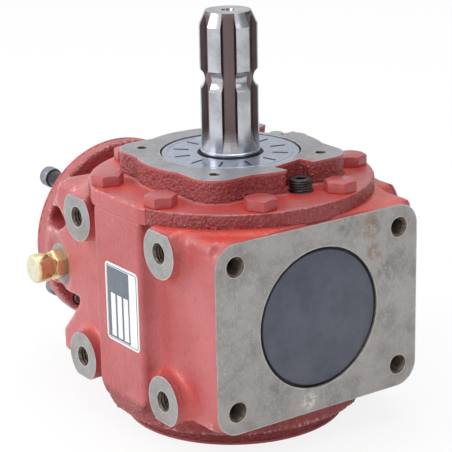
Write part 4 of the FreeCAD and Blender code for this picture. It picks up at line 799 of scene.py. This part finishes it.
# %% [markdown]
# ## Machined faces
# A milling cutter leaves a face dead flat with a crisp outline. Each of these faces is lifted from the
# frame part itself: the triangles that lie in one plane are copied and merged, and a wall is drawn
# down from every open edge, so the plate has the exact outline and holes. Where a hole is countersunk,
# its mouth is made that much wider. The wall is bare iron inside the holes and painted round the
# outside.

# %% Machined plates
PLATE_THICK = 1.6
PLANE_SLACK, HOLE_SLACK, HOLE_WALL = 0.002, 0.15, 1.6


def machined_plate(name, node_name, axis, level, material, holes):
    """The frame part's flat face at one level along an axis, with a wall of the plate's thickness.

    Each hole is a centre and a radius, measured on the two axes across the plate, and how much wider
    its countersunk mouth is."""
    mesh = welded_copy(node_name)
    mesh.materials.clear()
    mesh.materials.append(material)
    mesh.materials.append(enamel)
    shape = bmesh.new()
    shape.from_mesh(mesh)
    others = [v for v in shape.verts if abs(v.co[axis] / MM - level) > PLANE_SLACK]
    bmesh.ops.delete(shape, geom=others, context="VERTS")
    bmesh.ops.dissolve_limit(shape, angle_limit=0.01, verts=shape.verts, edges=shape.edges)
    across = [k for k in range(3) if k != axis]
    centres = np.array([centre for centre, _, _ in holes])
    radii = np.array([radius for _, radius, _ in holes])
    for corner in shape.verts:
        spot = np.array(corner.co)[across] / MM
        away = np.hypot(*(centres - spot).T)
        closest = int(np.argmin(np.abs(away - radii)))
        if abs(away[closest] - radii[closest]) < HOLE_SLACK:
            shift = (spot - centres[closest]) / away[closest] * holes[closest][2] * MM
            corner.co[across[0]] += shift[0]
            corner.co[across[1]] += shift[1]
    inward = Vector([0, 0, 0])
    inward[axis] = -PLATE_THICK * MM * (1 if level > case_middle[axis] else -1)
    rim = [edge for edge in shape.edges if edge.is_boundary]
    made = bmesh.ops.extrude_edge_only(shape, edges=rim)["geom"]
    lowered = [item for item in made if isinstance(item, bmesh.types.BMVert)]
    walls = [item for item in made if isinstance(item, bmesh.types.BMFace)]
    bmesh.ops.translate(shape, verts=lowered, vec=inward)
    for wall in walls:
        spot = np.array(wall.calc_center_median())[across] / MM
        wall.material_index = int(not (np.hypot(*(centres - spot).T) < radii + HOLE_WALL).any())
    bmesh.ops.triangulate(shape, faces=[face for face in shape.faces if len(face.verts) > 4])
    shape.to_mesh(mesh)
    shape.free()
    ready(bpy.data.objects.new(name, mesh))


def circles(centres, radius, sink=0.0):
    """Each centre with the radius and the countersink."""
    return [(centre, radius, sink) for centre in centres]


# %% Lay the plates
output_bore = circles([(0, AXIS_HEIGHT)], BORE_RADIUS)
input_bore = circles([(0, 0)], BORE_RADIUS)
flange_holes = circles(FLANGE_CENTRES, FLANGE_HOLE, FLANGE_SINK) + output_bore
ring_holes = circles(RING_CENTRES, RING_HOLE) + output_bore
boss_holes = circles(BOSS_CENTRES, BOSS_HOLE, BOSS_SINK)
cover_holes = circles(COVER_CENTRES, COVER_HOLE) + input_bore
PLATES = [
    ("flange_plate", "housing", 0, FLANGE_FACE, iron_flange, flange_holes),
    ("ring_plate", "housing", 0, RING_FACE, iron_flange, ring_holes),
    ("front_boss_plates", "housing", 1, -BOSS_FACE, iron_boss, boss_holes),
    ("back_boss_plates", "housing", 1, BOSS_FACE, iron_boss, boss_holes),
    ("foot_plate", "housing", 2, 0, iron_flange, input_bore),
    ("cover_plate", "cover", 2, COVER_TOP, iron_cover, cover_holes),
]
for plate in PLATES:
    machined_plate(*plate)

# %% [markdown]
# ## Screw threads in the holes
# A tapped hole shows dark ridges that climb round its wall. The wall is a function of the turn and of
# the depth: its radius swings by a triangle wave whose phase is depth over pitch less the turn, which
# makes one true screw line instead of separate rings.

# %% Threads
def triangle(phase):
    """Wave from 0 to 1 and back once per unit."""
    return 1 - np.abs(2 * (phase % 1) - 1)


def threaded(profile, pitch, ridge, marked, columns=48):
    """Turned surface whose marked profile rows sink by a ridge along one screw line."""
    turn = turns(columns)
    rows = [(radius - ridge * mark * triangle(height / pitch - turn / (2 * math.pi)), height)
            for (radius, height), mark in zip(profile, marked)]
    return turned(rows, columns)


RIDGE = 0.341


def tapped_hole(radius, depth, pitch, sink):
    """Thin sleeve for a blind hole whose mouth is at 0, wider by a countersink, and whose bottom is
    towards -Z. The thread's ridge is a share of its pitch."""
    mouth = radius + sink - 0.03
    rows = np.arange(-0.5 - sink, -depth, -pitch / 6)
    wall = [(radius - 0.03, z) for z in rows]
    inner = [(mouth, -0.06)] + wall + [(radius - 0.6, -depth), (0, -depth - 0.4)]
    outer = [(0, -depth - 0.9), (radius + 0.3, -depth - 0.4), (mouth + 0.33, -0.3), (mouth, -0.06)]
    marked = [0] + [1] * len(wall) + [0, 0] + [0] * len(outer)
    return threaded(inner + outer, pitch, RIDGE * pitch, marked)


def threads(name, mouths, radius, depth, pitch, sink=0.0):
    """A sleeve at each mouth, which is a place and the way that it faces."""
    sleeve = tapped_hole(radius, depth, pitch, sink)
    piece(name, joined([placed(sleeve, spot, way) for spot, way in mouths]), iron_thread)


boss_mouths = [((x, side * BOSS_FACE, z), (0, side, 0)) for side in (-1, 1) for x, z in BOSS_CENTRES]
flange_mouths = [((FLANGE_FACE, y, z), (1, 0, 0)) for y, z in FLANGE_CENTRES]
cover_mouths = [((x, y, COVER_TOP), (0, 0, 1)) for x, y in COVER_CENTRES]
threads("boss_threads", boss_mouths, BOSS_HOLE, depth=21, pitch=2.0, sink=BOSS_SINK)
threads("flange_threads", flange_mouths, FLANGE_HOLE, depth=21, pitch=1.75, sink=FLANGE_SINK)
threads("cover_threads", cover_mouths, COVER_HOLE, depth=13, pitch=1.25)

# %% [markdown]
# ## Cover bolts
# Eight hexagon bolts, painted over with the case, each left at its own turn by the wrench. A hexagon is
# drawn as a turned surface whose radius follows the flats: half the width across flats, divided by the
# cosine of the angle to the nearest flat. The top is cut by a cone, which leaves the round crown that
# every hexagon head has.

# %% Hexagon heads
def hexagon_radius(flats, turn):
    """Distance from the axis to a hexagon's side in a direction."""
    return flats / 2 / np.cos((turn + math.pi / 6) % (math.pi / 3) - math.pi / 6)


CROWN_SLOPE, FOOT = 0.4, 0.05


def hexagon_head(flats, height, crown=0.97, columns=72):
    """Rows from the top centre over the crown cone and the flats to the washer face and the bottom."""
    hexagon = hexagon_radius(flats, turns(columns))
    inner = crown * flats / 2
    cone = height - CROWN_SLOPE * (hexagon - inner)
    rows = [(0, height), (inner - 0.3, height), (inner, height - 0.12), (hexagon - 0.15, cone - 0.05),
            (hexagon, cone - 0.3), (hexagon, FOOT + 0.15), (hexagon - 0.2, FOOT), (inner, FOOT), (inner, 0),
            (0, 0)]
    return turned(rows, columns)


def spun(part, degrees):
    """Part turned about Z."""
    points, faces = part
    c, s = math.cos(math.radians(degrees)), math.sin(math.radians(degrees))
    return points @ np.array([[c, s, 0], [-s, c, 0], [0, 0, 1]]), faces


BOLT_FLATS, BOLT_HEAD = 17.0, 6.4
BOLT_TURNS = (5, 21, 8, 33, 12, 41, 36, 6)
bolt_shank = turned([(0, -24.5), (4.5, -24.5), (4.9, -24), (4.9, 0.2), (0, 0.2)], 32)
bolts = []
for (x, y), twist in zip(BOLT_CENTRES, BOLT_TURNS):
    bolt = joined([spun(hexagon_head(BOLT_FLATS, BOLT_HEAD), twist), bolt_shank])
    bolts.append(placed(bolt, (x, y, PLATE_TOP), (0, 0, 1)))
piece("painted_bolts", joined(bolts), bolt_enamel, stands_for="cover_bolts")

# %% [markdown]
# ## Shaft seal
# The seal fills the bore round the shaft: a glossy blue-grey face that mirrors the shaft, a black band
# deep in the gap against the bore as painted shade, a dark lip at the shaft and twelve short black
# ribs that point at the shaft. Its heights are measured from its face.

# %% Seal
SEAL_TOP = 161.6
seal_profile = [
    (17.6, -9.9), (41.6, -9.9), (42.4, -9.3), (42.4, -6.9), (41.6, -6.7), (41.6, -0.4), (41.2, 0),
    (38.6, 0), (38.3, -0.25), (37.9, -0.25), (37.6, 0), (20.2, 0), (19.8, -0.4), (19.6, -3.2),
    (17.6, -3.2), (17.6, -9.9),
]
lip_profile = [
    (17.7, -3.3), (19.9, -3.3), (19.7, -1.4), (19, -1.1), (18.4, -1.8), (17.7, -2.2), (17.7, -3.3),
]


def on_seal(part):
    """Laid in the cover's bore, from the seal's face down."""
    return placed(part, (0, 0, SEAL_TOP), (0, 0, 1))


def bar(start, length, width, height, columns=12):
    """Rounded low bar along X from a start: a half-ellipse section carried along, with closed ends."""
    along = start + np.array([0, 0, 0.4, length - 0.4, length, length])
    swell = np.array([0, 0.7, 1, 1, 0.7, 0])[:, None]
    turn = turns(columns)
    points = [along[:, None] + 0 * turn, swell * width / 2 * np.cos(turn), swell * height * np.sin(turn)]
    return np.stack(points, -1).reshape(-1, 3), grid_faces(len(along), columns)


def ring_band(inner, outer, low, high, columns=120):
    """Ring of rectangular section round Z."""
    return turned([(inner, low), (outer, low), (outer, high), (inner, high), (inner, low)], columns)


RIB_COUNT, RIB_START, RIB_INNER, RIB_LENGTH = 12, 14.0, 25.6, 9.4
rib = bar(RIB_INNER, RIB_LENGTH, width=1.6, height=0.3)
ribs = [spun(rib, angle) for angle in RIB_START + 360 / RIB_COUNT * np.arange(RIB_COUNT)]
piece("seal_ring", on_seal(turned(seal_profile, 120)), seal_face, stands_for="input_seal")
piece("seal_ribs", on_seal(joined(ribs)), black_rubber)
# A black band deep in the gap against the bore: painted shade.
piece("seal_gap_shade", on_seal(ring_band(41.5, 42.45, -6, -1.2)), black_rubber)
piece("seal_lip", on_seal(turned(lip_profile, 96)), black_rubber)

# %% [markdown]
# ## Side cap
# A pressed cap closes the bore of the flange. Its edge is rounded, so a dark ring of shadow shows
# between cap and bore, and black sealing compound sits in that ring. The cap went in a hair off
# centre, so the ring is wider on one side.

# %% Side cap
CAP_FACE = 85.4
CAP_SHIFT = (0.6, -0.3)
cap_profile = [(0, 0), (40.2, 0), (40.5, -0.15), (40.75, -0.6), (40.8, -1.5), (40.8, -6), (0, -6)]


def in_bore(part, shift=(0, 0)):
    """Laid in the flange's bore, facing out, moved across by a shift."""
    return placed(part, (CAP_FACE, shift[0], AXIS_HEIGHT + shift[1]), (1, 0, 0))


piece("blanking_cap", in_bore(turned(cap_profile, 144), CAP_SHIFT), cap_paint, stands_for="side_cap")
piece("cap_compound", in_bore(ring_band(39.9, 42.45, -5.9, -2.2, 144)), black_rubber)
piece("cap_bore", in_bore(ring_band(42.46, 42.9, -5.9, -0.5, 144)), iron_thread)

# %% [markdown]
# ## Brass level plug
# Turned and milled from hexagon bar: a hexagon that seats on a milled spot of the neck, a groove, and
# a drum-shaped cap with rounded edges and a paler end.

# %% Level plug
def on_neck(part):
    """Laid on the neck's milled spot, its axis pointing out of the nameplate side."""
    return placed(part, (PLUG_X, -SPOT, AXIS_HEIGHT), (0, -1, 0))


HEX_END, GROOVE_END, PLUG_END = 7.8, 10.7, 20.5
collar = hexagon_head(BOLT_FLATS, HEX_END, crown=0.95)
neck = turned([(0, -15.4), (5.9, -15.4), (6.5, -14.8), (6.5, 0.1), (7.4, 0.1), (7.4, GROOVE_END + 0.2),
               (0, GROOVE_END + 0.2)], 48)
drum = turned([(0, GROOVE_END), (7.2, GROOVE_END), (8.6, GROOVE_END + 0.1), (9.1, GROOVE_END + 0.5),
               (9.2, GROOVE_END + 1.1), (9.2, PLUG_END - 1.8), (9.0, PLUG_END - 1.0), (8.4, PLUG_END - 0.4),
               (0, PLUG_END - 0.3)])
end = turned([(0, PLUG_END - 0.6), (8.4, PLUG_END - 0.6), (8.4, PLUG_END - 0.35), (8.0, PLUG_END - 0.08),
              (0, PLUG_END)])
spot = turned([(0, -0.5), (SPOT_RADIUS, -0.5), (SPOT_RADIUS, 0.04), (0, 0.04)])
piece("brass_plug", on_neck(joined([collar, neck, drum])), brass, stands_for="level_plug")
piece("brass_plug_end", on_neck(end), brass_end)
piece("spot_face", on_neck(spot), iron_boss)

# %% [markdown]
# ## Socket screws
# The plug in the cover and the four screws on the ring have a hexagon socket. The head is one grid:
# up the outside, over a small chamfer, across the face, and down a wall that follows the hexagon. The
# plug is threaded to its top, and the screws are knurled. A plain breather stands in the second notch.

# %% Socket screws
SOCKET_FLATS, SOCKET_DEPTH, KNURLS = 6.0, 5.0, 36


def socket_head(radius, height, columns=72, knurl=0.0, pitch=0.0, ridge=0.0):
    """Rows from the bottom centre up the side, over the face and down the hexagon socket. The side is
    knurled, or threaded where a pitch is given."""
    turn = turns(columns)
    hexagon = hexagon_radius(SOCKET_FLATS, turn)
    side_rows = max(2, round(height / pitch * 6)) if pitch else 2
    rows = [(0, 0), (radius - 0.4, 0)]
    for z in np.linspace(0.5, height - 0.9, side_rows):
        thread = ridge * triangle(z / pitch - turn / (2 * math.pi)) if pitch else 0
        rows.append((radius - thread - knurl * triangle(turn * KNURLS / (2 * math.pi)), z))
    rows += [(radius - 0.25, height - 0.4), (radius - 0.8, height), (hexagon + 0.35, height)]
    rows += [(hexagon, height - 0.35), (hexagon, height - SOCKET_DEPTH), (0, height - SOCKET_DEPTH - 0.8)]
    return turned(rows, columns)


PLUG_TOP = 155.0
plug = socket_head(7.0, PLUG_TOP - DECK, pitch=1.5, ridge=0.75)
plug_place = (*around(NOTCH_CIRCLE, NOTCH_ANGLES[0]), DECK)
piece("black_plug", placed(plug, plug_place, (0, 0, 1)), plug_steel, stands_for="socket_plug")
vent_profile = [(0, 0), (5.5, 0), (5.5, 15), (5, 15.3), (5, 16.2), (5.5, 16.5), (5.5, 21.2), (4.2, 22.5),
                (1.4, 22.5), (0, 22)]
vent_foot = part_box("vent_stub")[1][2] / MM - max(height for _, height in vent_profile)
vent_place = (*around(NOTCH_CIRCLE, NOTCH_ANGLES[1]), vent_foot)
breather = placed(turned(vent_profile, 48), vent_place, (0, 0, 1))
piece("breather", breather, vent_grey, stands_for="vent_stub")
SCREW_SEAT = -150.0
screw_shank = turned([(0, -27.3), (3.6, -27.3), (4, -26.8), (4, 0.4), (0, 0.4)], 32)
screw = joined([socket_head(6.6, 8.0, columns=144, knurl=0.28), screw_shank])
screws = [placed(screw, (SCREW_SEAT, y, z), (-1, 0, 0)) for y, z in RING_CENTRES]
piece("knurled_heads", joined(screws), zinc, stands_for="ring_screws")

# %% [markdown]
# ## Nameplate print
# The plate carries a printed form: a thin frame line, a dark panel with three strips and a column
# beside it. All of its fields stay empty, as on a plate that hasn't been filled in yet.

# %% Nameplate print
PLATE_X, PLATE_Z = 4.8, 82.3
PLATE_FRONT = -83.1


def printed(x0, x1, z0, z1, lift, corner=0.6):
    """Thin rounded panel on the plate: four corner arcs, a front and a rim."""
    turn = np.linspace(0, math.pi / 2, 5)
    xs, zs = [], []
    for k, (cx, cz) in enumerate([(x1 - corner, z1 - corner), (x0 + corner, z1 - corner),
                                  (x0 + corner, z0 + corner), (x1 - corner, z0 + corner)]):
        xs.append(cx + corner * np.cos(turn + k * math.pi / 2))
        zs.append(cz + corner * np.sin(turn + k * math.pi / 2))
    x, z = np.concatenate(xs), np.concatenate(zs)
    middle = np.array([[(x0 + x1) / 2], [(z0 + z1) / 2]])
    ring = np.stack([x, z])
    rows = [(middle + 0 * ring, 0.0), (ring, 0.0), (ring, lift), (middle + 0 * ring, lift)]
    points = np.concatenate([np.stack([r[0] + PLATE_X, PLATE_FRONT - rise + 0 * r[0], r[1] + PLATE_Z], -1)
                             for r, rise in rows])
    return points, grid_faces(4, len(x))


HALF_WIDTH, HALF_HEIGHT = 17.75, 24.25


def inset(margin, lift, corner):
    """Panel as large as the plate, less a margin all round."""
    return printed(margin - HALF_WIDTH, HALF_WIDTH - margin, margin - HALF_HEIGHT, HALF_HEIGHT - margin,
                   lift, corner)


frame_line, column = inset(1.3, 0.06, 1.8), inset(1.8, 0.12, 1.5)
panel = printed(-15.5, 8.2, -22.0, 22.0, 0.18)
STRIP_WIDTH, STRIP_STARTS = 4.9, (-11.8, -4.9, 2.0)
strips = [printed(left, left + STRIP_WIDTH, -20.8, 5.9, 0.24, 0.3) for left in STRIP_STARTS]
piece("plate_panel", joined([frame_line, panel]), plate_grey)
piece("plate_fields", joined([column] + strips), plate_white)

# %% [markdown]
# ## Studio
# A white sweep and soft lamps. The world is white to the camera. As a light it is brighter from the
# nameplate side and from above than from the flange side, so that the upright walls differ in tone:
# its strength is a base plus a share times how nearly a direction points at the bright side. The floor
# is white too and keeps only the gearbox's own soft shadow.

# %% World
def mirror_rays(path):
    """1 for rays that left a shiny or clear surface."""
    return maths("MAXIMUM", path.outputs["Is Glossy Ray"], path.outputs["Is Transmission Ray"])


world = bpy.data.worlds.new("studio")
bpy.context.scene.world = world
world.use_nodes = True
background = world.node_tree.nodes["Background"]
rays = add(background, "LightPath")
BRIGHT_SIDE = (-0.45, -0.62, 0.64)
WORLD_BASE, WORLD_SHARE = 0.26, 0.62
MIRROR_BASE, MIRROR_SHARE = 0.34, 0.98
direction = add(background, "TexCoord").outputs["Generated"]
side_share = between(measured("DOT_PRODUCT", direction, BRIGHT_SIDE), -0.7, 1.0)
diffuse = maths("MULTIPLY_ADD", side_share, WORLD_SHARE, WORLD_BASE)
mirrored = maths("MULTIPLY_ADD", side_share, MIRROR_SHARE, MIRROR_BASE)
strength = add(rays, "Mix", {0: mirror_rays(rays), 2: diffuse, 3: mirrored}).outputs[0]
strength = add(rays, "Mix", {0: rays.outputs["Is Camera Ray"], 2: strength, 3: 1.0}).outputs[0]
wire(background, Color=(1, 1, 1, 1), Strength=strength)

# %% Floor
FLOOR_REACH = 6.0
floor_corners = [(sx * FLOOR_REACH, sy * FLOOR_REACH, 0) for sx, sy in ((-1, -1), (1, -1), (1, 1), (-1, 1))]
floor_mesh = bpy.data.meshes.new("floor")
floor_mesh.from_pydata(floor_corners, [], [(0, 1, 2, 3)])
floor = bpy.data.objects.new("floor", floor_mesh)
bpy.context.scene.collection.objects.link(floor)
white, shader, place = finish("studio_floor")
wire(shader, Base_Color=srgb(250, 250, 250), Roughness=0.9)
glow = add(shader, "Emission", {"Color": (1, 1, 1, 1), "Strength": 1.0})
path = add(shader, "LightPath")
SEEN_WHITE, MIRRORED_WHITE = 0.85, 0.7
sideways = add(shader, "SeparateXYZ", {0: place}).outputs[0]
mirror = times(mirror_rays(path), between(sideways, 0.3, -0.5, 0, MIRRORED_WHITE))
share = maths("MULTIPLY_ADD", path.outputs["Is Camera Ray"], SEEN_WHITE, mirror)
merged = add(shader, "MixShader", {0: share, 1: shader.outputs[0], 2: glow.outputs[0]})
wire(white.node_tree.nodes["Material Output"], Surface=merged.outputs[0])
floor_mesh.materials.append(white)

# %% Lamps
LAMPS = [
    ("key", (-0.7, -1.6, 1.1), 1.1, 19.0),
    ("side", (1.7, 0.1, 0.9), 0.9, 3.5),
    ("top", (-0.1, 0.3, 1.9), 1.2, 10.0),
]
for lamp_name, spot, width, watts in LAMPS:
    lamp = bpy.data.lights.new(lamp_name, "AREA")
    lamp.size = width
    lamp.energy = watts
    holder = bpy.data.objects.new(lamp_name, lamp)
    holder.location = spot
    holder.rotation_euler = (Vector(spot) - Vector((0, 0, 0.1))).to_track_quat("Z", "Y").to_euler()
    bpy.context.scene.collection.objects.link(holder)
